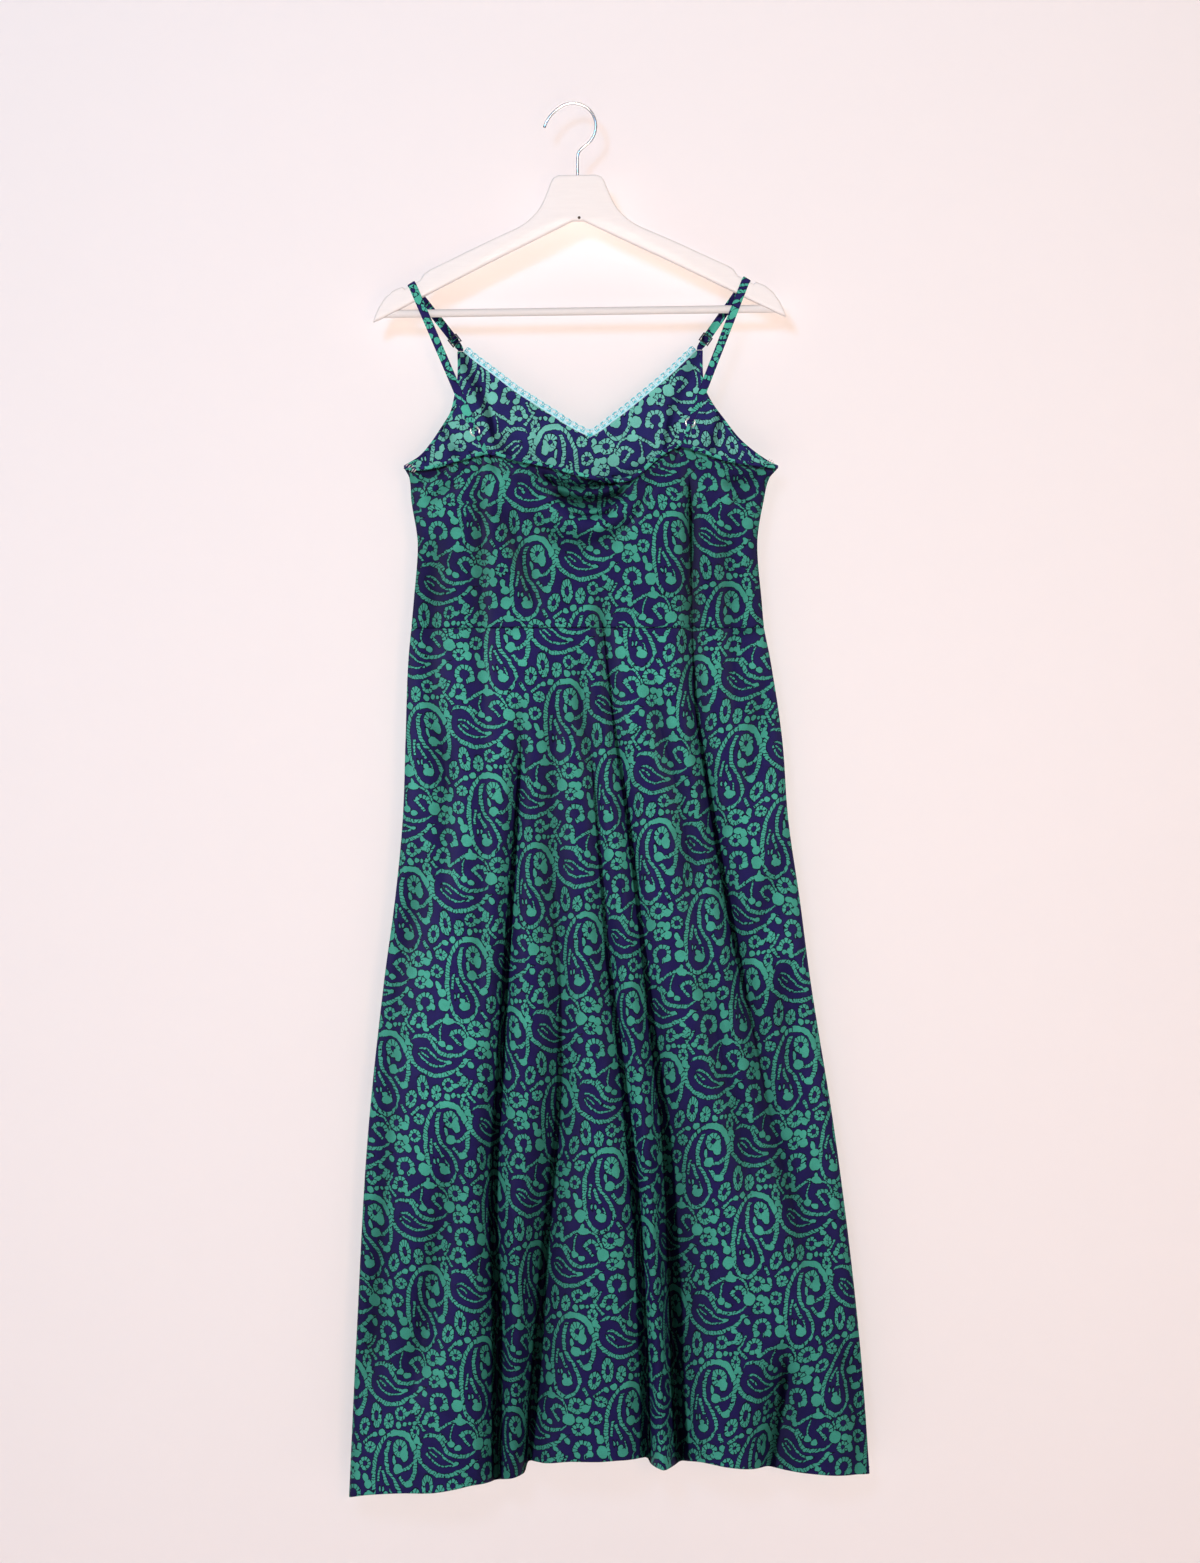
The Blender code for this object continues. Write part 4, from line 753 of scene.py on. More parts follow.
def makeSheet(name, patches, side, node):
    bm = bmesh.new()
    for places, cover in patches:
        addPatch(bm, places, cover)
    bmesh.ops.remove_doubles(bm, verts=bm.verts, dist=weldReach * 2)
    bmesh.ops.recalc_face_normals(bm, faces=bm.faces)
    faceOutwards(bm, side)
    # painted shade for each point, kept in the fold attribute
    paintedShadeLayer = bm.verts.layers.float.new("fold")
    for vert, share in zip(bm.verts, paintedShadeShare(side, np.array([vert.co for vert in bm.verts]) / mm)):
        vert[paintedShadeLayer] = share
    piece = finishPiece(name, bm, [outsideCloth, insideCloth], [node], 180.0)
    return giveThickness(piece, clothThickness, 1)


def makeTube(name, rings, cover, nodes=()):
    # closed sections, one after another; the last point of each repeats the first
    bm = bmesh.new()
    addPatch(bm, rings, cover)
    closeTubes(bm)
    return finishPiece(name, bm, [outsideCloth], nodes)


def arcLengths(places, axis):
    steps = np.linalg.norm(np.diff(places, axis=axis), axis=-1)
    start = np.zeros_like(np.take(steps, [0], axis=axis))
    return np.concatenate([start, np.cumsum(steps, axis=axis)], axis=axis)


def valueAtColumn(values, xRow, x0):
    # value of each row at the place x0
    return np.array([np.interp(x0, xr, vr) for xr, vr in zip(xRow, values)])


def evenShares(side, z, count):
    # shares of the width that part the cloth into equal lengths
    shares = np.linspace(0, 1, 801)
    places = clothPlace(side, between(outlineAt(1, z), outlineAt(2, z), shares), z)
    lengths = arcLengths(places, 0)
    return np.interp(np.linspace(0, lengths[-1], count + 1), lengths, shares)


def clothCover(places, side, x0, shift):
    # the flat cloth: its thread lines hang straight from the seam
    across = arcLengths(places, 1)
    across = across - valueAtColumn(across, places[:, :, 0], x0)[:, None]
    drop = places[:, :, 1:]
    down = arcLengths(drop, 0) * np.sign(places[-1, 0, 2] - places[0, 0, 2])
    u = across * (1 if side == backSide else -1)
    return np.stack([u + shift[0], down + shift[1]], -1)


def spacedShares(count, fineStart, fineEnd):
    # 0 to 1 with extra rows near each end
    middle = np.linspace(0, 1, count + 1)
    return np.unique(np.round(np.concatenate([fineStart, middle[1:-1], 1 - np.asarray(fineEnd)]), 6))


seamLook = dict(gap=0.1, dip=0.8, reach=1.6, edgeDip=1.1, edgeAt=5.0, edgeWidth=1.8)


def seamDip(z, seamZ):
    return -seamLook["dip"] * np.exp(-np.abs(z - seamZ) / seamLook["reach"])


def panelPlaces(side, shares, bottomZ, topEdge, heights):
    edgeX = between(topEdge[0][0], topEdge[-1][0], shares)
    topZ = edgeHeight(topEdge, edgeX)
    z = between(bottomZ, topZ[None, :], heights[:, None])
    x = between(outlineAt(1, z), outlineAt(2, z), shares[None, :])
    dip = seamDip(z, bottomZ)
    if topEdge is dressShape["backTop"]:
        dip = dip - seamLook["edgeDip"] * hump(topZ - z - seamLook["edgeAt"], seamLook["edgeWidth"])
    return clothPlace(side, x, z, dip), x, z


skirtLook = dict(
    backColumns=212, backRows=205, frontColumns=140, frontRows=170, backShift=(92.3, 24.0), frontShift=(12.0, 30.0),
    start=20.0, fineStart=(0, 0.0008, 0.002, 0.0032), fineEnd=(0.0006, 0.002),
    # steps inwards and up from the edge, where the hem is rolled under
    turn=((0.12, -0.45), (0.5, -0.62), (0.95, -0.4), (1.1, 0.3), (1.15, 3.5), (1.15, 7.0)))


def makeSkirt(name, side, columns, rows, hem, shift, node):
    look = skirtLook
    shares = evenShares(side, dressShape["spacingHeight"], columns)
    heights = spacedShares(rows, look["fineStart"], look["fineEnd"])
    places, x, z = panelPlaces(side, shares, dressShape["waist"] - seamLook["gap"], hem, heights)
    turned = [clothPlace(side, x[-1], z[-1] + up, np.full_like(x[-1], -inwards)) for inwards, up in look["turn"]]
    places = np.concatenate([places, np.stack(turned)])
    cover = clothCover(places, side, look["start"], shift)
    piece = makeSheet(name, [(places, cover)], side, node)
    return piece


makeSkirt("skirtBack", backSide, skirtLook["backColumns"], skirtLook["backRows"], dressShape["backHem"],
          skirtLook["backShift"], "skirt_back")
makeSkirt("skirtFront", frontSide, skirtLook["frontColumns"], skirtLook["frontRows"], dressShape["frontHem"],
          skirtLook["frontShift"], "skirt_front")
print("skirt panels made")

bodiceLook = dict(
    backColumns=150, backRows=84, halfColumns=56, bodyRows=70, lobeRows=60, crowding=1.3, backShift=(6.0, 20.0),
    start=20.0, stretch=1.01, fineStart=(0, 0.004, 0.01, 0.018),
    fineEnd=(0.0, 0.003, 0.015, 0.021, 0.026, 0.031, 0.038))


def makeBackBodice():
    look = bodiceLook
    shares = evenShares(backSide, dressShape["waist"], look["backColumns"])
    heights = spacedShares(look["backRows"], look["fineStart"], look["fineEnd"])
    bottomZ = dressShape["waist"] + seamLook["gap"]
    places, _, _ = panelPlaces(backSide, shares, bottomZ, dressShape["backTop"], heights)
    cover = clothCover(places, backSide, look["start"], look["backShift"])
    return makeSheet("bodiceBack", [(places, cover)], backSide, "bodice_back")


def halfPlaces(column, armhole, neck):
    # rows run from the armhole's side to the neck's, first up the body, then up the lobe that ends in the strap
    look = bodiceLook
    shares = np.linspace(0, 1, look["halfColumns"] + 1) ** look["crowding"]
    apex = neck[0]
    waist = dressShape["waist"] + seamLook["gap"]
    rise = spacedShares(look["bodyRows"], look["fineStart"], (0.0,))
    sideZ = between(waist, armhole[0][1], rise)
    sideX = outlineAt(column, sideZ)
    middleZ = between(waist, apex[1], rise)
    lobe = np.linspace(0, 1, look["lobeRows"] + 1)[1:]
    armX, armZ = edgePlace(armhole, lobe)
    neckX, neckZ = edgePlace(neck, lobe)
    startX, startZ = np.concatenate([sideX, armX]), np.concatenate([sideZ, armZ])
    endX, endZ = np.concatenate([np.full_like(middleZ, apex[0]), neckX]), np.concatenate([middleZ, neckZ])
    x = between(startX[:, None], endX[:, None], shares[None, :])
    z = between(startZ[:, None], endZ[:, None], shares[None, :])
    return clothPlace(frontSide, x, z, seamDip(z, waist)), x, z


def makeFrontBodice():
    patches = []
    for column, armhole, neck in ((1, dressShape["leftArmhole"], dressShape["leftNeck"]),
                                  (2, dressShape["rightArmhole"], dressShape["rightNeck"])):
        places, x, z = halfPlaces(column, armhole, neck)
        # nearly flat cloth, so the print follows x and height
        cover = np.stack([-(x - neck[0][0]) * bodiceLook["stretch"], z - dressShape["waist"]], -1)
        patches.append((places, cover))
    return makeSheet("bodiceFront", patches, frontSide, "bodice_front")


bodiceBack = makeBackBodice()
bodiceFront = makeFrontBodice()

# rolled edges: a flat tube of cloth over each raw edge. lip is how far it hangs over the edge, sunk how deep it sits.
rollLook = dict(
    width=4.0, thick=2.3, uneven=0.16, points=14, stations=260, squareness=0.7, lip=0.35, sunk=0.65, seamShift=4,
    # along the edge: turn for each millimetre, start, share
    waves=((0.29, 1.0, 1.0), (0.83, 0.0, 0.7)))
armholeRoll = dict(rollLook, width=3.0, thick=1.3, uneven=0.0, stations=110)


def signedPower(value, power):
    return math.copysign(abs(value) ** power, value)


def makeRoll(name, side, edge, look, straight=False, inwards=1.0):
    # side of the panel the roll lies on; the panel lies on the left of the edge's own direction times inwards
    share = np.linspace(0, 1, look["stations"] + 1)
    if straight:
        x = between(edge[0][0], edge[-1][0], share)
        z = edgeHeight(edge, x)
    else:
        x, z = edgePlace(edge, share)
    runX, runZ = np.gradient(x), np.gradient(z)
    size = np.hypot(runX, runZ)
    toX, toZ = runZ / size * inwards, -runX / size * inwards
    uneven = 1 + look["uneven"] * sum(part * np.sin(rate * x + start) for rate, start, part in look["waves"])
    rings, covers = [], []
    for k in range(look["points"] + 1):
        angle = math.tau * k / look["points"]
        deep = look["width"] / 2 * (1 + signedPower(math.cos(angle), look["squareness"])) - look["lip"]
        out = look["thick"] / 2 * math.sin(angle) * uneven + look["thick"] / 2 - look["sunk"]
        rings.append(clothPlace(side, x + toX * deep, z + toZ * deep, out))
        covers.append(np.stack([x, z - deep + (look["seamShift"] if k > look["points"] / 2 else 0)], -1))
    return makeTube(name, np.stack(rings, 1), np.stack(covers, 1))


rolls = [makeRoll("rollBackTop", backSide, dressShape["backTop"], rollLook, straight=True),
         makeRoll("rollArmholeLeft", frontSide, dressShape["leftArmhole"], armholeRoll),
         makeRoll("rollArmholeRight", frontSide, dressShape["rightArmhole"], armholeRoll, inwards=-1.0)]
print("bodice made")

laceLook = dict(
    height=7.6, thickness=0.45, pitch=8.4, stepsPerPitch=14, rows=10, scallop=1.3, scallopPower=0.7, low=0.2, mitre=0.1,
    # holes: how far from the middle of the pitch, height, half width, half height
    eye=(0.0, 5.0, 1.7, 1.15), pin=(0.0, 3.4, 0.75, 0.55), gap=(3.1, 5.15, 0.55, 0.75))


def makeLace(name, neck, hand, node):
    look = laceLook
    points = np.array(neck)
    length = np.hypot(*np.diff(points, axis=0).T).sum()
    pitches = round(length / look["pitch"])
    share = np.linspace(0, 1, pitches * look["stepsPerPitch"] + 1)
    x, z = edgePlace(neck, share)
    runX, runZ = np.gradient(x), np.gradient(z)
    size = np.hypot(runX, runZ)
    riseX, riseZ = -runZ / size * np.sign(runX), np.abs(runX) / size
    phase = share * pitches
    wave = np.abs(np.sin(math.pi * phase)) ** look["scallopPower"]
    level = np.linspace(0, 1, look["rows"] + 1)
    tall = look["height"] - look["scallop"] * (1 - wave)
    height = look["low"] + (tall - look["low"])[:, None] * level[None, :]
    placeX = x[:, None] + riseX[:, None] * height
    placeZ = z[:, None] + riseZ[:, None] * height
    # the two laces meet in a mitre above the point of the neck
    fromApex = (placeX - neck[0][0]) * hand
    placeX = np.where(fromApex < look["mitre"], neck[0][0] + hand * look["mitre"], placeX)
    places = clothPlace(frontSide, placeX, placeZ)
    cover = np.stack([np.broadcast_to((share * length)[:, None], height.shape), height], -1)
    bm = bmesh.new()
    addPatch(bm, places, cover)
    uvLayer = bm.loops.layers.uv["cloth"]
    holes = []
    for face in bm.faces:
        middle = sum((loop[uvLayer].uv for loop in face.loops), Vector((0, 0))) / len(face.loops) / mm
        step = middle.x / length * pitches
        along = (step % 1 - 0.5) * look["pitch"]
        small = ((step * 2) % 1 - 0.5) * look["pitch"] / 2
        eye, pin = (((run - far) / wide) ** 2 + ((middle.y - up) / tall) ** 2 < 1
                    for run, (far, up, wide, tall) in ((along, look["eye"]), (small, look["pin"])))
        far, up, wide, tall = look["gap"]
        gap = abs(abs(along) - far) < wide and up - tall < middle.y < up + tall
        if eye or pin or gap:
            holes.append(face)
    bmesh.ops.delete(bm, geom=holes, context="FACES")
    bmesh.ops.remove_doubles(bm, verts=bm.verts, dist=weldReach)
    faceOutwards(bm, frontSide)
    return giveThickness(finishPiece(name, bm, [laceCloth], [node], 180.0), look["thickness"])


threadLook = dict(
    radius=0.55, lift=0.5, bow=0.9, steps=6, points=8, tip=0.3, tipPower=0.5,
    # x and height of the two ends of each thread
    left=((-178.2, -386.6, -175, -382.6), (-176.4, -388.8, -172.4, -383.8), (-174.2, -390.6, -169.8, -385.2),
          (-171.8, -391.6, -167.4, -386.4), (-169.4, -392, -165.6, -388)),
    right=((206.6, -380.6, 209.4, -378), (208.4, -381.6, 212, -378.8), (210.6, -382.8, 213.6, -380.8)))


def makeThreads(name, threads):
    look = threadLook
    bm = bmesh.new()
    for xStart, zStart, xEnd, zEnd in threads:
        share = np.linspace(0, 1, look["steps"] + 1)
        out = look["lift"] + look["bow"] * np.sin(math.pi * share)
        route = clothPlace(backSide, between(xStart, xEnd, share), between(zStart, zEnd, share), out)
        run = (route[-1] - route[0]) / np.linalg.norm(route[-1] - route[0])
        across = np.cross(run, (0.0, 1.0, 0.0))
        deep = np.cross(run, across)
        turns = math.tau * np.linspace(0, 1, look["points"] + 1)
        circle = np.cos(turns)[:, None] * across + np.sin(turns)[:, None] * deep
        thin = np.maximum(np.sin(math.pi * share), look["tip"]) ** look["tipPower"]
        rings = route[:, None, :] + circle[None, :, :] * (look["radius"] * thin)[:, None, None]
        addPatch(bm, rings, np.zeros(rings.shape[:2] + (2,)))
    closeTubes(bm)
    return finishPiece(name, bm, [paleThread])


threads = [makeThreads("overlockLeft", threadLook["left"]), makeThreads("looseThreadRight", threadLook["right"])]
laces = [makeLace("laceLeft", dressShape["leftNeck"], -1, "lace_left"),
         makeLace("laceRight", dressShape["rightNeck"], 1, "lace_right")]
print("lace made")

hangerLook = dict(
    x=4.8, tilt=math.radians(0.8), thickness=12.0, edge=2.5, edgeSteps=5, neckTop=-75.5, notchOut=178.0, barRadius=4.25,
    barZ=-220.3, barSides=32, gap=0.3, curveSteps=4, curveLength=5.0,
    top=((20, -75.5), (25.2, -77.6), (28.4, -82), (31, -89), (36.1, -101), (41.5, -111), (48.9, -119.4),
         (57.5, -126.4), (67.5, -132), (84, -139.3), (106.3, -149.4), (136, -163.6), (159, -174.4), (164.8, -178.2),
         (169.2, -185.2), (185.6, -194.3), (188.4, -192), (198, -195.9), (206.6, -203.2), (213.4, -213),
         (217.6, -222), (219.9, -229)),
    bottom=((6, -124.2), (50, -145.6), (99.9, -169.6), (164.8, -202), (189.9, -215), (212, -225.9)))


def hangerPlace(side, out, z, y=0.0):
    tilt = hangerLook["tilt"]
    across = side * out
    down = z - hangerLook["neckTop"]
    return Vector((hangerLook["x"] + across * math.cos(tilt) - down * math.sin(tilt), y,
                   hangerLook["neckTop"] + across * math.sin(tilt) + down * math.cos(tilt)))


def softened(points, first, last):
    # extra points on the smooth stretch of an outline between two of its points
    result = list(points[:first])
    for k in range(first, last):
        before, start, end, after = (Vector(point) for point in points[k - 1:k + 3])
        count = max(1, min(hangerLook["curveSteps"], round((end - start).length / hangerLook["curveLength"])))
        for s in range(count):
            t = s / count
            spot = 0.5 * (2 * start + (end - before) * t + (2 * before - 5 * start + 4 * end - after) * t ** 2
                          + (3 * start - before - 3 * end + after) * t ** 3)
            result.append(tuple(spot))
    return tuple(result) + points[last:]


def extruded(bm, faces):
    grown = bmesh.ops.extrude_face_region(bm, geom=faces)["geom"]
    return [item for item in grown if isinstance(item, bmesh.types.BMVert)]


def makeHangerBody():
    look = hangerLook
    half = softened(look["top"], 3, 12) + look["bottom"][::-1]
    outline = [hangerPlace(1, *place) for place in half] + [hangerPlace(-1, *place) for place in half[::-1]]
    bm = bmesh.new()
    toFace = Vector((0.0, look["thickness"] / 2, 0.0))
    face = bm.faces.new([bm.verts.new(place - toFace) for place in outline])
    bmesh.ops.translate(bm, vec=toFace * 2, verts=extruded(bm, [face]))
    rims = [edge for edge in bm.edges if abs(edge.verts[0].co.y - edge.verts[1].co.y) < 0.01]
    bmesh.ops.bevel(bm, geom=rims, offset=look["edge"], segments=look["edgeSteps"], profile=0.5, affect="EDGES",
                    material=-1)
    finishSolid("hangerBody", bm, whitePaint, "hanger_body", 35.0)


def makeHangerBar():
    look = hangerLook
    seat, end = look["bottom"][4], look["bottom"][5]
    slope = (seat[1] - end[1]) / (end[0] - seat[0])
    clearance = look["gap"] / math.sin(math.atan(slope))
    bm = bmesh.new()
    bmesh.ops.create_circle(bm, radius=1.0, segments=look["barSides"], cap_ends=True)
    far = extruded(bm, bm.faces[:])
    for vert in bm.verts:
        side = 1 if vert in far else -1
        z = look["barZ"] + look["barRadius"] * vert.co.y
        vert.co = hangerPlace(side, seat[0] + (seat[1] - z) / slope - clearance, z, look["barRadius"] * vert.co.x)
    finishSolid("hangerBar", bm, shadedBarPaint, "hanger_bar", 40.0)


hookLook = dict(
    radius=24.3, wire=1.5, flare=6.5, tipAngle=183, flareAngle=120, endAngle=-32, stemZ=-57.0, bendReach=11.0, steps=60,
    bendSteps=20, sunk=0.1)


def makeHook():
    look = hookLook
    centre = Vector((0.0, 0.0, look["wire"] - look["radius"]))
    route = []
    for k in range(look["steps"] + 1):
        degrees = between(look["tipAngle"], look["endAngle"], k / look["steps"])
        opened = max(degrees - look["flareAngle"], 0) / (look["tipAngle"] - look["flareAngle"])
        radius = look["radius"] + look["flare"] * opened * opened
        angle = math.radians(degrees)
        route.append(centre + Vector((radius * math.cos(angle), 0.0, radius * math.sin(angle))))
    leaving = (route[-1] - route[-2]).normalized()
    stemTop = Vector((hangerLook["x"], 0.0, look["stemZ"]))
    bend = interpolate_bezier(route[-1], route[-1] + leaving * look["bendReach"],
                              stemTop + Vector((0.0, 0.0, look["bendReach"])), stemTop, look["bendSteps"])
    route += bend[1:] + [Vector((hangerLook["x"], 0.0, hangerLook["neckTop"] + look["sunk"]))]
    wire = bpy.data.curves.new("hangerHook", "CURVE")
    wire.dimensions = "3D"
    wire.bevel_depth = look["wire"] * mm
    wire.bevel_resolution = 6
    wire.use_fill_caps = True
    spline = wire.splines.new("POLY")
    spline.points.add(len(route) - 1)
    for point, place in zip(spline.points, route):
        point.co = (*(place * mm), 1.0)
    wire.materials.append(chromeWire)
    piece = makeObject("hangerHook", wire)
    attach(piece, "root")
    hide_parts("hanger_hook")


makeHangerBody()
makeHangerBar()
makeHook()
print("hanger made")

strapLook = dict(
    width=8.8, narrow=5.2, thick=0.9, spacing=0.6, sewn=6.0, aboveEdge=1.0, peakSink=0.2, peakStand=2.0,
    # the ribbon is gathered towards the peak and towards the ring
    peakShare=0.68, riseShare=0.84, rise=(0.35, 0.7), ringWide=4, ringGather=12, ringRadius=4.7, ringWire=0.8,
    ringSides=16, ringSteps=48, ringY=-9.5, spread=16.0, runSteps=14, arcSteps=10, turnSteps=16, gap=0.3,
    clothWall=1.2, points=16, flatness=(0.5, 0.8), printTurn=(0.8, 0.6), farPrint=12,
    # side, ring, slider, peak of the front, sewn place of the loop
    left=(-1, (-104.2, -349.2), (-126.6, -250.4), (-120.2, -261.9), (-92.6, -371.5)),
    right=(1, (124.7, -339.9), (141.6, -248.8), (135.1, -260.3), (118.6, -364.5)))


def makeRibbon(name, places, widths, shift, node):
    look = strapLook
    across = Vector((1.0, 0.0, 0.0))
    cos, sin = look["printTurn"]
    rings, covers = [], []
    travelled = 0.0
    for k, place in enumerate(places):
        run = (places[min(k + 1, len(places) - 1)] - places[max(k - 1, 0)]).normalized()
        across = (across - run * across.dot(run)).normalized()
        deep = run.cross(across)
        if k:
            travelled += (place - places[k - 1]).length
        ring, cover = [], []
        for c in range(look["points"] + 1):
            angle = math.tau * c / look["points"]
            wide = signedPower(math.cos(angle), look["flatness"][0])
            tall = signedPower(math.sin(angle), look["flatness"][1])
            ring.append(place + across * wide * widths[k] / 2 + deep * tall * look["thick"] / 2)
            flat = wide * widths[k] / 2 + (look["farPrint"] if c > look["points"] / 2 else 0)
            cover.append((flat * cos + travelled * sin + shift[0], travelled * cos - flat * sin + shift[1]))
        rings.append(ring)
        covers.append(cover)
    return makeTube(name, np.array(rings), np.array(covers), [node])


def ringTurn(centre, outward):
    look = strapLook
    free = math.sqrt((look["ringRadius"] - look["ringWire"]) ** 2 - (look["narrow"] / 2) ** 2)
    turnRadius = look["ringWire"] + look["gap"] + look["thick"] / 2
    middle = free - look["gap"] - look["thick"] / 2 + turnRadius
    places = []
    for k in range(look["turnSteps"] + 1):
        angle = math.pi * k / look["turnSteps"]
        bow = Vector((0.0, -turnRadius * math.cos(angle), 0.0))
        places.append(centre + outward * (middle - turnRadius * math.sin(angle)) + bow)
    return places


def armCrossing(side):
    look = hangerLook
    inner, outer = look["top"][14], look["top"][15]
    slope = (outer[1] - inner[1]) / (outer[0] - inner[0])
    notch = hangerPlace(side, look["notchOut"], inner[1] + slope * (look["notchOut"] - inner[0]))
    floor = (hangerPlace(side, *inner) - hangerPlace(side, *outer)).normalized()
    lift = Vector((-floor.z, 0.0, floor.x)) * math.copysign(1.0, floor.x)
    flatHalf = look["thickness"] / 2 - look["edge"]
    radius = look["edge"] + strapLook["gap"] + strapLook["spacing"] + strapLook["thick"] / 2
    crossing = []
    for face in (frontSide, backSide):
        for k in range(strapLook["arcSteps"] + 1):
            angle = math.pi / 2 * (k if face == frontSide else strapLook["arcSteps"] - k) / strapLook["arcSteps"]
            away = lift * math.sin(angle) + Vector((0.0, face * math.cos(angle), 0.0))
            corner = notch - lift * look["edge"] + Vector((0.0, face * flatHalf, 0.0))
            crossing.append((corner + away * radius, away))
    return crossing


def placeOn(side, x, z, out=0.0):
    return Vector(clothPlace(side, np.array(x), np.array(z), np.array(out)))


def quarters(start, end):
    return [start.lerp(end, share) for share in (0.25, 0.5, 0.75)]


def makeRing(hand, centre):
    look = strapLook
    bm = bmesh.new()
    bmesh.ops.create_circle(bm, radius=look["ringWire"], segments=look["ringSides"],
                            matrix=Matrix.Translation((look["ringRadius"], 0, 0)))
    bmesh.ops.spin(bm, geom=bm.verts[:] + bm.edges[:], cent=(0, 0, 0), axis=(0, 1, 0), angle=math.tau,
                   steps=look["ringSteps"], use_merge=True)
    bmesh.ops.remove_doubles(bm, verts=bm.verts, dist=0.001)
    bmesh.ops.translate(bm, vec=centre, verts=bm.verts)
    return finishSolid("ring" + hand.title(), bm, silverRing, "ring_" + hand)


def makeRingLoop(hand, side, ring, loopAt):
    look = strapLook
    loopOut = Vector((loopAt[0] - ring.x, 0.0, loopAt[1] - ring.z))
    legLength = loopOut.length
    loopOut.normalize()
    first, second = [], []
    for distance in (legLength - look["aboveEdge"], legLength + look["sewn"]):
        spot = ring + loopOut * distance
        inside = look["clothWall"] / 2 + look["gap"] + look["thick"] / 2
        first.append(placeOn(backSide, spot.x, spot.z, -inside))
        second.append(placeOn(backSide, spot.x, spot.z, -inside - look["thick"] - look["gap"]))
    turn = ringTurn(ring, loopOut)
    places = first[::-1] + quarters(first[0], turn[0]) + turn + quarters(turn[-1], second[0]) + second
    return makeRibbon("ringLoop" + hand.title(), places, [look["narrow"]] * len(places), (11 * side, 40),
                      "ring_loop_" + hand)


def makeStrap(hand):
    look = strapLook
    side, ringAt, sliderAt, peakAt, loopAt = look[hand]
    crossing = armCrossing(side)
    peak = placeOn(frontSide, *peakAt)
    slider = Vector((sliderAt[0], peak.y, sliderAt[1]))
    ring = Vector((ringAt[0], look["ringY"], ringAt[1]))
    behind = crossing[-1][0]
    outward = Vector((behind.x - ring.x, 0.0, behind.z - ring.z)).normalized()
    spreadEnd = ring + outward * look["spread"]
    steps = look["runSteps"]
    frontRun = [(slider.lerp(crossing[0][0], k / steps), Vector((0.0, 1.0, 0.0))) for k in range(steps)]
    backRun = [(behind.lerp(spreadEnd, (k + 1) / steps), Vector((0.0, -1.0, 0.0))) for k in range(steps)]
    line = frontRun + crossing + backRun
    outer = [place + away * look["spacing"] for place, away in line]
    inner = [place - away * look["spacing"] for place, away in reversed(line)]
    turn = ringTurn(ring, outward)
    sewnEnd = peak + Vector((0.0, 0.0, look["peakSink"]))
    bend = sewnEnd + Vector((0.0, 0.0, look["peakStand"]))
    places = [sewnEnd, bend] + [bend.lerp(outer[0], share) for share in look["rise"]] + outer
    places += quarters(outer[-1], turn[0]) + turn + quarters(turn[-1], inner[0]) + inner
    widths = [look["width"] * look["peakShare"]] * 2 + [look["width"] * look["riseShare"]] * 2
    for place in places[4:]:
        distance = Vector((place.x - ring.x, 0, place.z - ring.z)).length
        gathered = 1 - smoothStep((distance - look["ringWide"]) / look["ringGather"])
        widths.append(between(look["width"], look["narrow"], gathered))
    strap = makeRibbon("strap" + hand.title(), places, widths, (20 * side, 7), "strap_" + hand)
    return strap, makeRingLoop(hand, side, ring, loopAt), makeRing(hand, ring)


leftStrap = makeStrap("left")
rightStrap = makeStrap("right")
for name in ("slider_left", "slider_right"):
    node = bpy.data.objects[name]
    for materialSlot in node.material_slots:
        materialSlot.material = darkEnamel
print("straps made")

stageLook = dict(
    wallY=0.044, floorZ=-1.62, wall=(0.95, 0.885, 0.885), floor=(0.90, 0.85, 0.84), darkest=0.985, middle=(0.03, 0.38),
    wallSize=(9.0, 4.0), floorSize=(9.0, 9.0))


def makeStagePlane(name, size, matrix, colour, oneSided=False):
    material, tree, shader = newMaterial(name + "Paint", 0.85, specular=0.2)
    mottle = noiseOf(tree, objectPlace(tree), 3.0, 2.0)
    feed(tree, mixColour(tree, mottle, rgba(colour, stageLook["darkest"]), rgba(colour)), shader.inputs["Base Color"])
    if oneSided:
        clear = addNode(tree, "BsdfTransparent")
        mixed = addNode(tree, "MixShader")
        tree.links.new(addNode(tree, "NewGeometry").outputs["Backfacing"], mixed.inputs[0])
        tree.links.new(shader.outputs[0], mixed.inputs[1])
        tree.links.new(clear.outputs[0], mixed.inputs[2])
        tree.links.new(mixed.outputs[0], tree.nodes["Material Output"].inputs[0])
    bm = bmesh.new()
    bmesh.ops.create_grid(bm, x_segments=1, y_segments=1, size=0.5, matrix=matrix @ Matrix.Diagonal((*size, 1, 1)))
    plane = makeObject(name, makeMesh(name, bm, material))
    return plane


middleX, middleZ = stageLook["middle"]
standing = Matrix.Translation((middleX, stageLook["wallY"], middleZ)) @ Matrix.Rotation(math.pi / 2, 4, "X")
lying = Matrix.Translation((middleX, 0.0, stageLook["floorZ"]))
wall = makeStagePlane("wall", stageLook["wallSize"], standing, stageLook["wall"], oneSided=True)
wall.visible_shadow = False
makeStagePlane("floor", stageLook["floorSize"], lying, stageLook["floor"])

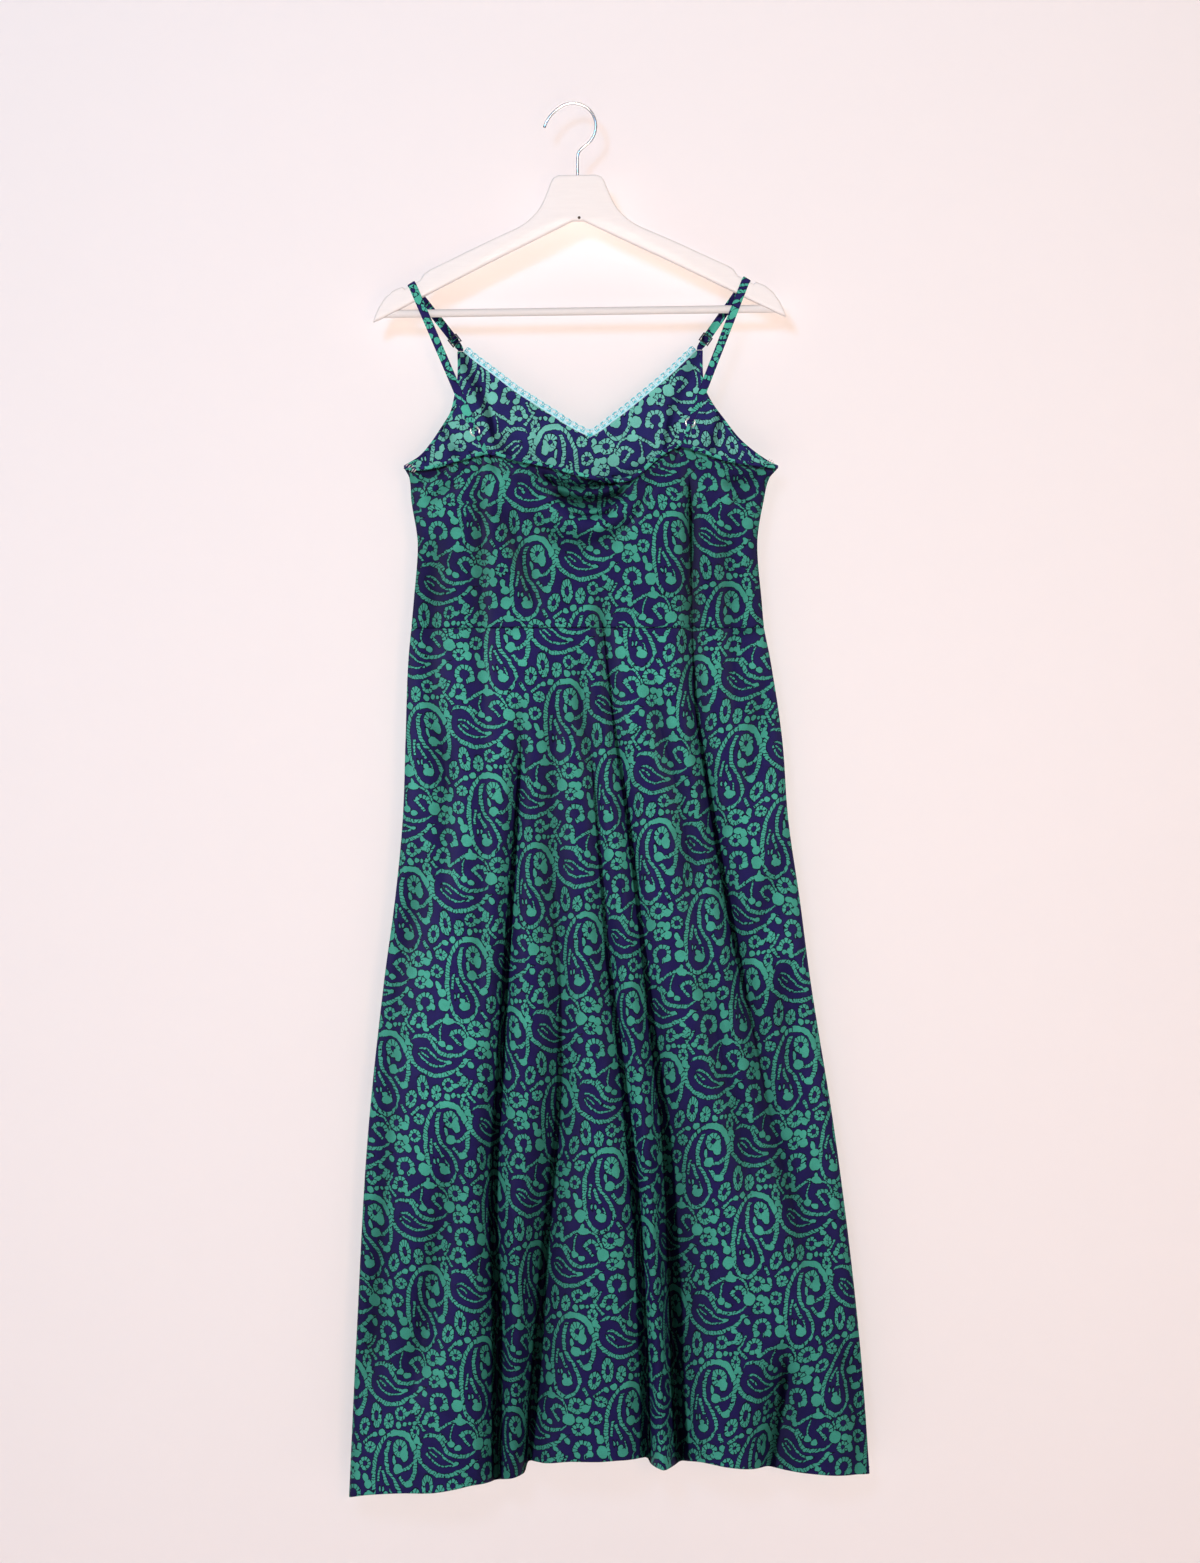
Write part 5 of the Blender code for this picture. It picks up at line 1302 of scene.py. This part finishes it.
# place in metres, size of the disk, power, colour, what it lights and what may block it
lampLook = dict(
    front=((0.03, -3.9, 0.05), 0.7, 105, (1.0, 0.850, 0.720), "backdrop", "none"),
    warm=((0.85, -3.3, -0.8), 0.75, 10, (1.0, 0.60, 0.40), "backdrop", None),
    cool=((-0.7, -3.3, 0.6), 0.75, 11, (0.46, 0.67, 1.0), "backdrop", None),
    coolHigh=((-0.9, -3.3, 0.8), 0.55, 27, (0.10, 0.56, 1.0), "backdrop", "hanger"),
    keyLeft=((-2.5, -1.8, 0.4), 0.4, 118, (0.97, 0.98, 1.0), "dress", None),
    sideRight=((2.5, -1.6, 0.6), 0.4, 80, (1.0, 0.96, 0.93), "dress", None),
    top=((-0.25, -0.9, 1.3), 0.5, 0.6, (1.0, 0.97, 0.95), "hanger", None),
    rear=((0.6, 2.8, 0.6), 1.5, 30, (1.0, 0.98, 0.97), "dress", None))
aim = Vector((0.03, 0.0, -0.75))
# The dress has lamps of its own. Those of the backdrop light the wall, the floor and the hanger. The front lamp
# casts no shadow, so only the coloured lamps leave soft fringes on the wall.
lit = {name: bpy.data.collections.new(name) for name in ("backdrop", "dress", "hanger", "none")}
for item in list(bpy.context.scene.objects):
    if item.type in ("MESH", "CURVE"):
        ofHanger = item.name in ("hangerBody", "hangerBar", "hangerHook")
        lit["backdrop" if ofHanger or item.name in ("wall", "floor") else "dress"].objects.link(item)
        if ofHanger:
            lit["hanger"].objects.link(item)
lit["none"].objects.link(wall)
for name, (place, size, power, colour, lights, blockedBy) in lampLook.items():
    lamp = bpy.data.lights.new(name + "Light", "AREA")
    lamp.shape = "DISK"
    lamp.size = size
    lamp.energy = power
    lamp.color = colour
    holder = makeObject(name + "Light", lamp)
    holder.location = place
    holder.rotation_euler = (aim - Vector(place)).to_track_quat("-Z", "Y").to_euler()
    holder.light_linking.receiver_collection = lit[lights]
    if blockedBy:
        holder.light_linking.blocker_collection = lit[blockedBy]

world = bpy.data.worlds.new("studio")
world.use_nodes = True
background = world.node_tree.nodes["Background"]
background.inputs[0].default_value = (0.98, 0.95, 0.97, 1)
background.inputs[1].default_value = 0.02
bpy.context.scene.world = world
bpy.context.scene.view_settings.view_transform = "Standard"

camera = bpy.data.cameras.new("camera")
camera.sensor_width = 24.0
camera.lens = 57.78
camera.sensor_fit = "AUTO"
cameraHolder = makeObject("camera", camera)
cameraHolder.location = (0.0287, -4.01, -0.7213)
cameraHolder.rotation_euler = (math.pi / 2, 0.0, 0.0)
bpy.context.scene.camera = cameraHolder
